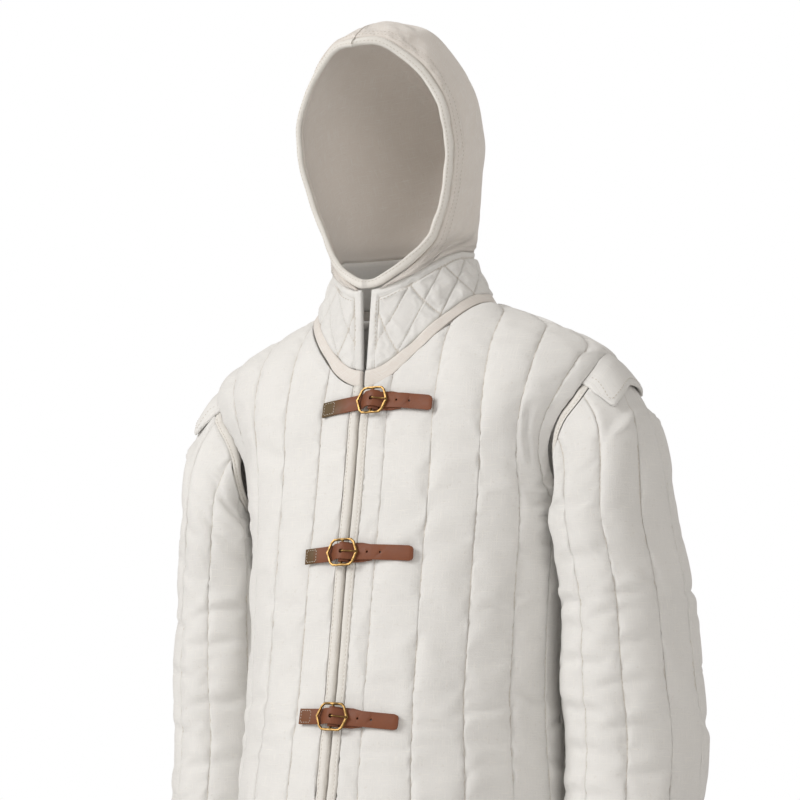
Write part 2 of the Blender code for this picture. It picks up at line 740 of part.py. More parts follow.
# Rows of the hood from the collar to the crown: share, y and z of the front, y and z of the back, y of the
# widest place and half width there
HOOD_ROWS = (
    (0.00, -0.0850, 0.0100, 0.0630, 0.0700, -0.0110, 0.0735),
    (0.08, -0.0885, 0.0310, 0.0725, 0.0905, -0.016, 0.0765),
    (0.20, -0.0925, 0.0650, 0.0860, 0.1220, -0.022, 0.0805),
    (0.35, -0.0980, 0.1080, 0.0900, 0.1590, -0.034, 0.0900),
    (0.50, -0.1060, 0.1500, 0.0910, 0.1900, -0.046, 0.0970),
    (0.62, -0.1120, 0.1810, 0.0880, 0.2120, -0.052, 0.0960),
    (0.75, -0.1170, 0.2110, 0.0790, 0.2340, -0.054, 0.0820),
    (0.86, -0.1190, 0.2350, 0.0650, 0.2500, -0.052, 0.0600),
    (0.94, -0.1200, 0.2500, 0.0460, 0.2620, -0.048, 0.0375),
    (1.00, -0.1190, 0.2570, 0.0240, 0.2700, -0.045, 0.0000),
)
hood_front_y = Rounded(HOOD_ROWS, 1)
hood_front_z = Rounded(HOOD_ROWS, 2)
hood_back_y = Rounded(HOOD_ROWS, 3)
hood_back_z = Rounded(HOOD_ROWS, 4)
hood_widest_y = Rounded(HOOD_ROWS, 5)
hood_half_width = Rounded(HOOD_ROWS, 6)

# The edge of the face opening, from the throat to the crown: station, row of the hood and y
HOOD_OPENING = (
    (0.0, 0.040, -0.0868),
    (1.0, 0.056, -0.0850),
    (2.0, 0.080, -0.0785),
    (3.0, 0.108, -0.0705),
    (4.0, 0.150, -0.0655),
    (5.0, 0.222, -0.0655),
    (6.5, 0.350, -0.0700),
    (8.0, 0.500, -0.0790),
    (9.2, 0.620, -0.0865),
    (10.5, 0.750, -0.0945),
    (11.8, 0.860, -0.1045),
    (13.0, 0.940, -0.1125),
    (14.2, 1.000, -0.1190),
)
opening_row = Rounded(HOOD_OPENING, 1)
opening_y = Rounded(HOOD_OPENING, 2)


def hood_point(share, angle):
    """Returns the hood's surface on a row, by the angle from the row's front to its back."""
    front = hood_front_y(share)
    back = hood_back_y(share)
    widest = hood_widest_y(share)
    shaped = smooth(share, 0.0, 0.35)
    is_front = angle < math.pi / 2
    roundness = 2 + shaped * ((HOOD_FRONT_ROUNDNESS if is_front else HOOD_BACK_ROUNDNESS) - 2)
    reach = abs(math.cos(angle)) ** (2 / roundness)
    across = max(math.sin(angle), 0) ** (2 / roundness)
    y = widest - (widest - front) * reach if is_front else widest + (back - widest) * reach
    rise = (y - front) / (back - front)
    z = hood_front_z(share) + (hood_back_z(share) - hood_front_z(share)) * rise
    z += collar_swell(angle) * (1 - smooth(share, 0.0, 0.30))
    z += HOOD_ARCH * smooth(share, 0.55, 1.0) * max(4 * rise * (1 - rise), 0) ** 0.70
    return Vector((hood_half_width(share) * across + SEAM, y, z))


def opening_angle(station):
    """Returns the angle on its row at which the face opening's edge lies."""
    share = opening_row(station)
    roundness = 2 + smooth(share, 0.0, 0.35) * (HOOD_FRONT_ROUNDNESS - 2)
    widest = hood_widest_y(share)
    reach = (widest - opening_y(station)) / (widest - hood_front_y(share))
    return math.acos(min(max(reach, 0), 1) ** (roundness / 2))


def opening_point(station):
    """Returns a point of the face opening's edge."""
    return hood_point(opening_row(station), opening_angle(station))


def row_start(share, away, path):
    """Returns the angle at which a row of the hood comes within a distance of the face opening's edge."""
    angle = math.pi * 0.55
    while angle > 0:
        place = hood_point(share, angle - 0.01)
        if min((place - point).length for point in path) < away:
            break
        angle -= 0.01
    return angle


def hood_direction(share, angle):
    """Returns the direction out of the hood."""
    share = min(max(share, 0.006), 0.994)
    angle = min(max(angle, 0.01), math.pi - 0.02)
    return across(lambda a, v: hood_point(v, a), angle, share, 0.008, 0.005)


def build_hood(finish, edge_finish):
    """Builds the hood's two halves and the bound edge that closes round the face."""
    last = HOOD_OPENING[-1][0]
    path = [opening_point(last * k / 220) for k in range(221)]
    shares = [math.sin(math.pi / 2 * (k / HOOD_STEPS) ** HOOD_CROWDING) for k in range(HOOD_STEPS + 1)]
    outer = []
    inner = []
    for share in shares:
        start = row_start(share, HOOD_BOUND + HOOD_EDGE_GAP, path)
        angles = [start + (math.pi - start) * k / HOOD_COLUMNS for k in range(HOOD_COLUMNS + 1)]
        row = [hood_point(share, angle) for angle in angles]
        directions = [hood_direction(share, angle) for angle in angles]
        nearest = min(range(len(path)), key=lambda k: (path[k] - row[0]).length)
        station = last * nearest / (len(path) - 1)
        directions[0] = hood_direction(opening_row(station), opening_angle(station))
        directions[1] = directions[1].lerp(directions[0], 0.4).normalized()
        if share == 0.0:
            row = [point + Vector((0, 0, HOOD_SEAT)) for point in row]
        if share == shares[-1]:
            directions = [Vector((0, way.y, way.z)).normalized() for way in directions]
        directions[-1] = Vector((0, directions[-1].y, directions[-1].z)).normalized()
        outer.append(row)
        inner.append([point - way * HOOD_THICKNESS for point, way in zip(row, directions)])
    for row in inner:
        for point in row:
            point.x = max(point.x, SEAM)
    wall("hood_left", outer, inner, finish)
    wall("hood_right", mirrored(outer), mirrored(inner), finish)
    build_hood_edge(edge_finish)


def build_hood_edge(finish):
    """Sweeps a rounded strip round the face opening and across the throat."""
    half_width = HOOD_BOUND / 2 - 0.0003
    half_thickness = HOOD_THICKNESS / 2 + 0.0009
    last = HOOD_OPENING[-1][0]
    stations = [last * k / HOOD_STATIONS for k in range(HOOD_STATIONS + 1)]
    left = []
    for station in stations:
        step = 0.05
        run = opening_point(min(station + step, last)) - opening_point(max(station - step, 0))
        if station in (0.0, last):
            run = Vector((1, 0, 0)) if station == 0.0 else Vector((-1, 0, 0))
        normal = hood_direction(opening_row(station), opening_angle(station))
        if station in (0.0, last):
            normal = Vector((0, normal.y, normal.z)).normalized()
        inward = run.cross(normal).normalized()
        centre = opening_point(station) + inward * (HOOD_BOUND / 2) - normal * (HOOD_THICKNESS / 2)
        if station in (0.0, last):
            centre.x = 0.0
        left.append((centre, inward, normal))
    right = [(flip_x(centre), flip_x(inward), flip_x(normal)) for centre, inward, normal in left[1:-1]]
    rings = []
    for centre, inward, normal in [*left, *reversed(right)]:
        ring = []
        for k in range(8):
            angle = math.radians(22.5 + 45 * k)
            wide = math.copysign(abs(math.cos(angle)) ** 0.7, math.cos(angle))
            deep = math.copysign(abs(math.sin(angle)) ** 0.7, math.sin(angle))
            ring.append(centre + inward * (half_width * wide) + normal * (half_thickness * deep))
        rings.append(ring)
    add_tube("hood_edge", rings, finish, closed=True)


def flip_x(vector):
    """Returns a vector on the other side of the middle plane."""
    return Vector((-vector.x, vector.y, vector.z))


def add_tube(name, rings, finish, closed=False, crease=60):
    """Joins rings of points into a closed loop, or into a tube with flat ends."""
    count = len(rings)
    around = len(rings[0])
    points = [point for ring in rings for point in ring]
    faces = []
    for i in range(count if closed else count - 1):
        after = (i + 1) % count
        for k in range(around):
            nearby = (k + 1) % around
            faces.append(
                (i * around + k, i * around + nearby, after * around + nearby, after * around + k)
            )
    if not closed:
        faces.append(tuple(reversed(range(around))))
        faces.append(tuple((count - 1) * around + k for k in range(around)))
    return add_object(name, points, faces, finish, crease)


# ---- straps and buckles ---------------------------------------------------------------------------------

# Fastenings: name, height on the front, rise per metre towards the wearer's left, how much it droops at both
# ends, how far its bar is beside the middle of the front, and how much longer its sewn end and its tip are
FASTENINGS = (
    ("1", -0.109, 0.010, 1.40, 0.018, 0.013, -0.010),
    ("2", -0.262, 0.020, 0.66, 0.000, 0.000, -0.001),
    ("3", -0.423, -0.040, 0.50, 0.004, -0.006, -0.008),
)
FASTENING_RISE = 0.0006  # of every fastening, for the bound front edges that it crosses
STRAP_WIDTH = 0.0150
STRAP_THICKNESS = 0.0020
TAB_THICKNESS = 0.0016
TAB_HALF_WIDTH = 0.0096  # of the tab, which shows on both sides of the strap
TAB_END_SHARE = 0.80  # how wide its sewn end still is
SEWN_POINTS = 2  # of the route's first points, how many move with a longer sewn end
TIP_POINTS = 5  # of its last points, how many move with a longer tip
BUCKLE_HEIGHT = 0.0070  # of the frame's middle above the cloth
WIRE = 0.0014  # half thickness of the buckle's frame
BUCKLE_HALF_LENGTH = 0.0165
BUCKLE_HALF_HEIGHT = 0.0125
BUCKLE_CORNER = 0.0112  # how far along the strap the frame's four corners are from its bar
BAR = 0.0013  # half thickness of the centre bar
BAR_SHORTER = 0.0006  # how far each end of the bar is inside the frame's middle line
TAB_SLOT = (-0.0042, 0.0036, 0.0017, 0.0038, 0.0112)  # for the prong, in the tab's fold
PRONG_RADIUS = 0.0008
WIRE_SIDES = 6
HOLE_HALF_LENGTH = 0.0032  # of the pins that cut the holes

# Holes of a strap: distance from the centre bar, height above the cloth and radius; the prong takes the first
STRAP_HOLES = (
    (0.0017, 0.0115, 0.0021),
    (0.0265, 0.0035, 0.0012),
    (0.0400, 0.0035, 0.0012),
)
TIP_SHARES = (1.0, 0.86, 0.56)  # how wide the strap still is at each of its last points

# The strap's route along its middle: distance from the centre bar and height above the cloth
STRAP_ROUTE = (
    (-0.0470, 0.0016),
    (-0.0380, 0.0016),
    (-0.0290, 0.0017),
    (-0.0210, 0.0022),
    (-0.0160, 0.0029),
    (-0.0118, 0.0042),
    (-0.0090, 0.0064),
    (-0.0055, 0.0101),
    (-0.0018, 0.0116),
    (0.0020, 0.0117),
    (0.0055, 0.0104),
    (0.0090, 0.0068),
    (0.0118, 0.0045),
    (0.0165, 0.0038),
    (0.0240, 0.0038),
    (0.0320, 0.0036),
    (0.0400, 0.0026),
    (0.0520, 0.0022),
    (0.0640, 0.0024),
    (0.0705, 0.0027),
    (0.0737, 0.0029),
    (0.0748, 0.0030),
)

# The tab's route round the centre bar, from its sewn end to the end of its fold
TAB_ROUTE = (
    (0.0310, 0.0014),
    (0.0200, 0.0014),
    (0.0110, 0.0014),
    (0.0060, 0.0019),
    (0.0025, 0.0037),
    (0.0000, 0.0046),
    (-0.0017, 0.0053),
    (-0.0024, 0.0070),
    (-0.0017, 0.0087),
    (0.0000, 0.0094),
    (0.0022, 0.0087),
    (0.0045, 0.0062),
    (0.0068, 0.0046),
)


def fastening_frame(height, slope, droop, shift):
    """Returns a function that places a point by its distance along, across and above a fastening."""

    def place(along, across, above):
        rise = height + slope * along - droop * along**2 + across
        beside = along + shift
        base = body_point(rise, beside - slope * across)
        steady = body_normal(body_point(rise, max(abs(beside), 0.004)))
        side = -1 if beside < 0 else 1
        share = min(abs(beside) / 0.012, 1)
        normal = Vector((side * steady.x * share, steady.y, steady.z)).normalized()
        return base + normal * (above + FASTENING_RISE)

    return place


def strap_route(sewn_extra, tip_extra):
    """Returns a strap's route with its sewn end and its tip made longer or shorter."""
    route = []
    for k, (along, above) in enumerate(STRAP_ROUTE):
        if k < SEWN_POINTS:
            along -= sewn_extra
        if k >= len(STRAP_ROUTE) - TIP_POINTS:
            along += tip_extra
        route.append((along, above))
    return route


def strap_wall(name, place, route, thickness, half_widths, finish):
    """Builds a flat strap along a route, with a half width for each of the route's points."""
    outer = []
    inner = []
    last = len(route) - 1
    for i, (along, above) in enumerate(route):
        before = route[max(i - 1, 0)]
        after = route[min(i + 1, last)]
        run = Vector((after[0] - before[0], after[1] - before[1])).normalized()
        out = Vector((-run.y, run.x)) * (thickness / 2)
        top = []
        bottom = []
        for share in (-1, 1):
            across = half_widths[i] * share
            top.append(place(along + out.x, across, above + out.y))
            bottom.append(place(along - out.x, across, above - out.y))
        outer.append(top)
        inner.append(bottom)
    return wall(name, outer, inner, finish)


def cut(target, cutter):
    """Takes a cutter's shape out of a piece and removes the cutter."""
    trim = target.modifiers.new("cut", "BOOLEAN")
    trim.operation = "DIFFERENCE"
    trim.object = cutter
    cutter.hide_render = True
    cutter.display_type = "WIRE"


def hole_cutter(name, place, along, above, radius, half_length, finish):
    """Builds a round pin that cuts a hole through a strap."""
    rings = []
    for height in (above - half_length, above + half_length):
        rings.append(
            [
                place(
                    along + radius * math.cos(math.radians(30 * k)),
                    radius * math.sin(math.radians(30 * k)),
                    height,
                )
                for k in range(12)
            ]
        )
    return add_tube(name, rings, finish)


def swept(name, place, route, radius, sides, finish, closed=False):
    """Sweeps a round wire along points given by their distance along, across and above a fastening."""
    centres = [place(*point) for point in route]
    count = len(centres)
    rings = []
    out = (place(0, 0, 0.010) - place(0, 0, 0)).normalized()
    for i, centre in enumerate(centres):
        if closed:
            run = centres[(i + 1) % count] - centres[i - 1]
            across = run.cross(out).normalized()
        else:
            run = centres[min(i + 1, count - 1)] - centres[max(i - 1, 0)]
            across = (place(0, 0.010, 0) - place(0, 0, 0)).normalized()
        lift = across.cross(run).normalized()
        size = radius(i) if callable(radius) else radius
        rings.append(
            [
                centre
                + across * (size * math.cos(2 * math.pi * k / sides))
                + lift * (size * math.sin(2 * math.pi * k / sides))
                for k in range(sides)
            ]
        )
    return add_tube(name, rings, finish, closed)


def frame_route():
    """Returns the buckle frame's route: a loop with a point at each end and four soft corners."""
    quarter_turn = (
        (BUCKLE_HALF_LENGTH, 0.0),
        (BUCKLE_HALF_LENGTH - 0.0010, 0.0020),
        (BUCKLE_CORNER + 0.0012, BUCKLE_HALF_HEIGHT - 0.0028),
        (BUCKLE_CORNER - 0.0018, BUCKLE_HALF_HEIGHT - 0.0002),
        (0.0050, BUCKLE_HALF_HEIGHT),
        (0.0, BUCKLE_HALF_HEIGHT),
    )
    upper = [*quarter_turn, *[(-x, y) for x, y in reversed(quarter_turn[:-1])]]
    lower = [(x, -y) for x, y in reversed(upper[1:-1])]
    return [(x, y, BUCKLE_HEIGHT) for x, y in [*upper, *lower]]


def build_fastening(row, leather, brass, remove):
    """Builds one strap, the tab that holds its buckle, the buckle and its prong."""
    name, height, slope, droop, shift, sewn_extra, tip_extra = row
    place = fastening_frame(height, slope, droop, shift)
    half = STRAP_WIDTH / 2
    widths = [half] * (len(STRAP_ROUTE) - len(TIP_SHARES)) + [half * share for share in TIP_SHARES]
    strap = strap_wall(
        f"strap_{name}", place, strap_route(sewn_extra, tip_extra), STRAP_THICKNESS, widths, leather
    )
    for k, (along, above, radius) in enumerate(STRAP_HOLES):
        pin = hole_cutter(f"strap_{name}_hole_{k}", place, along, above, radius, HOLE_HALF_LENGTH, leather)
        cut(strap, pin)
        remove.append(pin)
    tab_widths = [TAB_HALF_WIDTH * TAB_END_SHARE] + [TAB_HALF_WIDTH] * (len(TAB_ROUTE) - 1)
    tab = strap_wall(f"buckle_tab_{name}", place, TAB_ROUTE, TAB_THICKNESS, tab_widths, leather)
    slot = box_cutter(f"buckle_tab_{name}_slot", place, TAB_SLOT, leather)
    cut(tab, slot)
    remove.append(slot)
    frame = swept(f"buckle_{name}", place, frame_route(), WIRE, WIRE_SIDES, brass, closed=True)
    reach = BUCKLE_HALF_HEIGHT - BAR_SHORTER
    ends = [(0.0, -reach, BUCKLE_HEIGHT), (0.0, reach, BUCKLE_HEIGHT)]
    bar = upright_bar(f"buckle_{name}_bar", place, ends, brass)
    join = frame.modifiers.new("join", "BOOLEAN")
    join.operation = "UNION"
    join.object = bar
    bar.hide_render = True
    bar.display_type = "WIRE"
    remove.append(bar)
    build_prong(name, place, brass)


def box_cutter(name, place, box, finish):
    """Builds a box that cuts a slot: its ends along, its half width across, its bottom and its top."""
    start, end, half, low, high = box
    corners = ((start, low), (end, low), (end, high), (start, high))
    rings = [[place(along, side, above) for along, above in corners] for side in (-half, half)]
    return add_tube(name, rings, finish)


def upright_bar(name, place, ends, finish):
    """Builds the buckle's centre bar."""
    out = (place(0, 0, 0.010) - place(0, 0, 0)).normalized()
    run = (place(*ends[1]) - place(*ends[0])).normalized()
    across = run.cross(out).normalized()
    rings = []
    for end in ends:
        rings.append(
            [
                place(*end)
                + across * (BAR * math.cos(math.radians(36 * k + 9)))
                + out * (BAR * math.sin(math.radians(36 * k + 9)))
                for k in range(10)
            ]
        )
    return add_tube(name, rings, finish)


def build_prong(name, place, finish):
    """Builds the prong: it hooks round the bar, comes up through the strap and rests on the frame's end."""
    route = (
        (0.0012, 0.0, 0.0050),
        (-0.0010, 0.0, 0.0048),
        (-0.0024, 0.0, 0.0064),
        (-0.0021, 0.0, 0.0084),
        (-0.0004, 0.0, 0.0096),
        (0.0013, 0.0, 0.0110),
        (0.0024, 0.0, 0.0130),
        (0.0048, 0.0, 0.0133),
        (0.0085, 0.0, 0.0112),
        (0.0125, 0.0, 0.0100),
        (0.0172, 0.0, 0.0096),
    )
    swept(f"prong_{name}", place, route, PRONG_RADIUS, WIRE_SIDES, finish)


def main():
    """Builds the whole coat."""
    for old in list(bpy.data.objects):
        bpy.data.objects.remove(old, do_unlink=True)
    cotton = material("quilted_cotton", (0.78, 0.75, 0.70), 0.92)
    binding = material("cotton_binding", (0.80, 0.77, 0.72), 0.90)
    hood_cotton = material("hood_cotton", (0.72, 0.67, 0.61), 0.92)
    leather = material("strap_leather", (0.30, 0.12, 0.055), 0.55)
    brass = material("buckle_brass", (0.72, 0.52, 0.22), 0.30, 1.0)
    build_front("front_left", STITCH_LINES_LEFT, True, cotton)
    build_front("front_right", STITCH_LINES_RIGHT, False, cotton)
    build_back(cotton)
    build_front_edge("front_edge_left", True, binding)
    build_front_edge("front_edge_right", False, binding)
    for side, sign in (("left", 1), ("right", -1)):
        build_sleeve(side, sign, cotton, binding)
        build_tongue(side, sign, cotton)
    build_collar(cotton, hood_cotton)
    build_hood(hood_cotton, binding)
    remove = []
    for row in FASTENINGS:
        build_fastening(row, leather, brass, remove)
    settle_cuts(remove)


def settle_cuts(cutters):
    """Fixes every cut into its piece and takes the cutters out."""
    bpy.context.view_layer.update()
    graph = bpy.context.evaluated_depsgraph_get()
    for piece in [piece for piece in bpy.data.objects if piece.modifiers]:
        settled = bpy.data.meshes.new_from_object(piece.evaluated_get(graph))
        piece.modifiers.clear()
        piece.data = settled
    for cutter in cutters:
        bpy.data.objects.remove(cutter, do_unlink=True)


main()
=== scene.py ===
"""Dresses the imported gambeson: quilted cotton that puckers along its stitching, bindings, leather and brass.

Every piece stands where its solid stands, in metres, with X to the wearer's left, the front facing -Y and
Z up.
"""

import logging
import math
from collections.abc import Callable
from dataclasses import dataclass, field, replace
from functools import cache

import bmesh
import bpy
import numpy as np
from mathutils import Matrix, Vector


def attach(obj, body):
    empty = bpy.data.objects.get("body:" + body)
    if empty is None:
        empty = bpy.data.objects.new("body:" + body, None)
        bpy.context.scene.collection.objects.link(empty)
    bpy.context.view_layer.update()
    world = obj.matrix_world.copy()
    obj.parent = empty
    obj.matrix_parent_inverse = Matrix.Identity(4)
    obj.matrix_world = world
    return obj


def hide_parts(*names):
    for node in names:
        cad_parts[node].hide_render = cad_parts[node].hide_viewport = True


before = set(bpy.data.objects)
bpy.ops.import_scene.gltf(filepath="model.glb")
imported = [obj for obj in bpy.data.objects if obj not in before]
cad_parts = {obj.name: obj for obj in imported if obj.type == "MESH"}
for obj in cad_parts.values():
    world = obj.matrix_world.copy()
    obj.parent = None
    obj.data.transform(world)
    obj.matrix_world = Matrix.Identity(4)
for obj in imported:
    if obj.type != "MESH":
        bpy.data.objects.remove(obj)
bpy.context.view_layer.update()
LOG = logging.getLogger("gambeson")
Array = np.ndarray
Socket = bpy.types.NodeSocket

SEAM = 0.0004  # half the gap between neighbouring pieces
PADDING = 0.0085  # thickness of the quilted cloth
QUILT_DEPTH = 0.0033  # how far a line of stitching is pulled in
ROUNDNESS = 2.2  # 2 would be an oval
FOLD_SIZE = 0.0035  # how far a turned-in edge, or the stitching beside it, draws the cloth in
MIRROR = np.array((-1.0, 1.0, 1.0))
NUMBER, VECTOR = "NodeSocketFloat", "NodeSocketVector"


# ---- curves and helpers ----


class Curve:
    """A smooth curve through one column of a short table, which never overshoots its rows."""

    def __init__(self, rows: tuple, column: int) -> None:
        """Reads the table.

        Args:
            rows: the table, its first column rising.
            column: which column holds the values.
        """
        self.x = np.array([row[0] for row in rows], float)
        self.y = np.array([row[column] for row in rows], float)
        step = np.diff(self.x)
        rise = np.diff(self.y) / step
        self.slope = np.concatenate(([rise[0]], np.zeros(len(rise) - 1), [rise[-1]]))
        for k in range(1, len(rise)):
            if rise[k - 1] * rise[k] > 0:
                first, second = 2 * step[k] + step[k - 1], step[k] + 2 * step[k - 1]
                self.slope[k] = (first + second) / (first / rise[k - 1] + second / rise[k])

    def __call__(self, value: Array | float) -> Array:
        """Returns the curve's values.

        Args:
            value: places along the first column.

        Returns:
            The values there, as an array of the same shape.
        """
        value = np.clip(np.asarray(value, float), self.x[0], self.x[-1])
        k = np.clip(np.searchsorted(self.x, value, side="right") - 1, 0, len(self.x) - 2)
        step = self.x[k + 1] - self.x[k]
        t = (value - self.x[k]) / step
        return (
            (2 * t**3 - 3 * t**2 + 1) * self.y[k]
            + (t**3 - 2 * t**2 + t) * step * self.slope[k]
            + (3 * t**2 - 2 * t**3) * self.y[k + 1]
            + (t**3 - t**2) * step * self.slope[k + 1]
        )


def smooth(value: Array | float, low: float, high: float) -> Array:
    """Returns a share that rises softly from 0 at low to 1 at high."""
    share = np.clip((np.asarray(value, float) - low) / (high - low), 0, 1)
    return share * share * (3 - 2 * share)


def unit(vectors: Array) -> Array:
    """Returns vectors scaled to length 1."""
    return vectors / np.maximum(np.linalg.norm(vectors, axis=-1, keepdims=True), 1e-12)


def peak(value: Array, width: float, at: float = 0.0) -> Array:
    """Returns a soft peak of height 1 at a value."""
    return np.exp(-(((value - at) / width) ** 2))


def nearest(values: Array, wanted: float) -> int:
    """Returns where a row of values comes nearest to one that is wanted."""
    return int(np.argmin(np.abs(values - wanted)))


def travelled(points: Array, axis: int = 0) -> Array:
    """Returns the distance covered along one axis of a grid of points, from 0 at its start."""
    steps = np.linalg.norm(np.diff(points, axis=axis), axis=-1)
    before = [(0, 0)] * steps.ndim
    before[axis] = (1, 0)
    return np.pad(np.cumsum(steps, axis=axis), before)


def bisect(low: Array, high: Array, holds: Callable[[Array], Array], steps: int) -> Array:
    """Returns the farthest places between two bounds at which a test still holds.

    Args:
        low: places at which it holds.
        high: places at which it may not.
        holds: the test.
        steps: how often the span is halved.

    Returns:
        The places.
    """
    for _ in range(steps):
        middle = (low + high) / 2
        below = holds(middle)
        low, high = np.where(below, middle, low), np.where(below, high, middle)
    return low


def ripple(u: Array, v: Array, wave: float, seed: int, stretch: float = 1.0) -> Array:
    """Returns soft uneven waves over a piece of cloth.

    Args:
        u: places across the cloth, in metres.
        v: places along it.
        wave: usual length of a wave, in metres.
        seed: picks the pattern.
        stretch: how much longer the waves are along v than across.

    Returns:
        Heights of about -1 to 1.
    """
    rng = np.random.default_rng(seed)
    total = np.zeros(np.broadcast(u, v).shape)
    for _ in range(9):
        turn = rng.uniform(0, 2 * math.pi)
        size = wave * rng.uniform(0.65, 1.7)
        phase = rng.uniform(0, 2 * math.pi)
        total += np.sin(2 * math.pi * (u * math.cos(turn) + v * math.sin(turn) / stretch) / size + phase)
    return total / 3.2


def grid_normals(grid: Array, closed: bool = False) -> Array:
    """Returns the directions across a grid of points.

    Args:
        grid: points, by row, column and axis.
        closed: whether each row is a ring.

    Returns:
        Unit directions, along the row crossed with up the columns.
    """
    if closed:
        along = np.roll(grid, -1, axis=1) - np.roll(grid, 1, axis=1)
    else:
        along = np.gradient(grid, axis=1)
    return unit(np.cross(along, np.gradient(grid, axis=0)))


# ---- the garment's form ----

# Horizontal sections of the body: height, half width, y of the front and y of the back
BODY_LEVELS = (
    (-0.900, 0.200, -0.194, 0.166),
    (-0.700, 0.191, -0.185, 0.156),
    (-0.500, 0.177, -0.163, 0.142),
    (-0.400, 0.171, -0.146, 0.134),
    (-0.260, 0.177, -0.125, 0.131),
    (-0.200, 0.184, -0.114, 0.130),
    (-0.160, 0.194, -0.108, 0.128),
    (-0.130, 0.211, -0.104, 0.125),
    (-0.105, 0.229, -0.098, 0.121),
    (-0.082, 0.236, -0.091, 0.115),
    (-0.062, 0.228, -0.084, 0.109),
    (-0.042, 0.200, -0.075, 0.101),
    (-0.028, 0.172, -0.067, 0.094),
    (-0.012, 0.134, -0.057, 0.085),
    (0.000, 0.103, -0.050, 0.079),
    (0.006, 0.080, -0.045, 0.075),
)


@dataclass
class BodyForm:
    """The surface of the coat's body, laid out by height and by distance along the cloth from the middle."""

    hem: float = -0.900
    waist: float = -0.400
    armpit: float = -0.205
    shoulder_tip: float = -0.062
    ridge: float = 0.008
    free_line: float = 0.155
    armhole_middle: float = -0.1335
    armhole_half: float = 0.0715
    armhole_reach: tuple = (0.050, 0.058)
    neck: tuple = (0.1025, -0.0940, 0.0790)
    length: dict = field(default_factory=dict)
    xs: dict = field(default_factory=dict)
    ys: dict = field(default_factory=dict)
    edge: dict = field(default_factory=dict)
    eased: dict = field(default_factory=dict)

    def __post_init__(self) -> None:
        """Lays out a dense table of sections, once."""
        self.half, self.front_y, self.back_y = (Curve(BODY_LEVELS, k) for k in (1, 2, 3))
        self.heights = np.linspace(self.hem, BODY_LEVELS[-1][0], 1500)
        turn = np.linspace(0, math.pi / 2, 361)
        share = np.linspace(0, 1, 161)
        for back in (False, True):
            width = self.half(self.heights)[:, None]
            depth = self.depth(self.heights, back)[:, None]
            x = width * np.sin(turn) ** (2 / ROUNDNESS)
            y = depth * np.clip(np.cos(turn), 0, 1) ** (2 / ROUNDNESS)
            y = self.ridge + y if back else self.ridge - y
            run = np.hypot(np.diff(x), np.diff(y))
            along = np.concatenate((np.zeros((len(x), 1)), np.cumsum(run, axis=1)), axis=1)
            self.length[back] = along[:, -1]
            self.xs[back] = np.array([np.interp(share * a[-1], a, r) for a, r in zip(along, x)])
            self.ys[back] = np.array([np.interp(share * a[-1], a, r) for a, r in zip(along, y)])
            self.edge[back] = self._edges(back, share)
            window = np.hanning(221)
            padded = np.pad(self.edge[back], 110, mode="edge")
            self.eased[back] = np.convolve(padded, window / window.sum(), mode="valid")

    def _edges(self, back: bool, share: Array) -> Array:
        """Returns how far a panel reaches at each height of the table: to the side seam or the armhole."""
        reach = []
        tip = int(np.searchsorted(self.heights, self.shoulder_tip))
        for k, height in enumerate(self.heights):
            k = min(k, tip)
            length = self.length[back][k]
            if height <= self.armpit:
                reach.append(length - SEAM)
                continue
            wanted = self.armhole_y(min(height, self.shoulder_tip), back)
            y, s = self.ys[back][k], share
            if back:
                y, s = y[::-1], s[::-1]
            reach.append(min(float(np.interp(wanted, y, s)) * length, length - SEAM))
        return np.array(reach)

    def depth(self, height: Array | float, back: bool) -> Array:
        """Returns how deep the section is in front of or behind the ridge line."""
        return self.back_y(height) - self.ridge if back else self.ridge - self.front_y(height)

    def nearer_depth(self, height: Array, y: Array) -> Array:
        """Returns how deep the section is on the side of the ridge line on which each y lies."""
        return np.where(y < self.ridge, self.depth(height, False), self.depth(height, True))

    def armhole_y(self, height: Array | float, back: bool) -> Array:
        """Returns the y of the armhole's edge at a height."""
        share = np.clip(abs(height - self.armhole_middle) / self.armhole_half, 0, 1)
        reach = self.armhole_reach[1] if back else -self.armhole_reach[0]
        return self.ridge + reach * np.sqrt(1 - share**2)

    def side(self, height: Array | float, back: bool) -> Array:
        """Returns the distance along the cloth from the middle to the side seam."""
        return np.interp(height, self.heights, self.length[back])

    def point(self, height: Array, distance: Array, back: bool = False) -> Array:
        """Returns points of the surface.

        Args:
            height: heights.
            distance: distances along the cloth from the middle, below 0 on the wearer's right.
            back: whether they are on the back.

        Returns:
            The points, with one more axis than the heights.
        """
        height, distance = (np.array(a, float) for a in np.broadcast_arrays(height, distance))
        rows, columns = self.xs[back].shape
        h = np.clip((height - self.heights[0]) / (self.heights[1] - self.heights[0]), 0, rows - 1.0001)
        s = np.clip(abs(distance) / self.side(height, back), 0, 1) * (columns - 1)
        i, j = h.astype(int), np.minimum(s.astype(int), columns - 2)
        a, b = h - i, s - j

        def mix(table: Array) -> Array:
            """Reads a table between its entries."""
            low = table[i, j] * (1 - b) + table[i, j + 1] * b
            return low * (1 - a) + (table[i + 1, j] * (1 - b) + table[i + 1, j + 1] * b) * a

        x = mix(self.xs[back]) * np.where(distance < 0, -1, 1)
        return np.stack((x, mix(self.ys[back]), height), axis=-1)

    def measure(self, point: Array) -> Array:
        """Returns numbers that are 1 on the surface and less inside it."""
        x, y, z = np.moveaxis(point, -1, 0)
        across, deep = abs(x) / self.half(z), abs(y - self.ridge) / self.nearer_depth(z, y)
        return across**ROUNDNESS + deep**ROUNDNESS

    def normal(self, point: Array) -> Array:
        """Returns the directions straight out of the surface."""
        steps = np.eye(3) * 0.0006
        return unit(np.stack([self.measure(point + s) - self.measure(point - s) for s in steps], axis=-1))

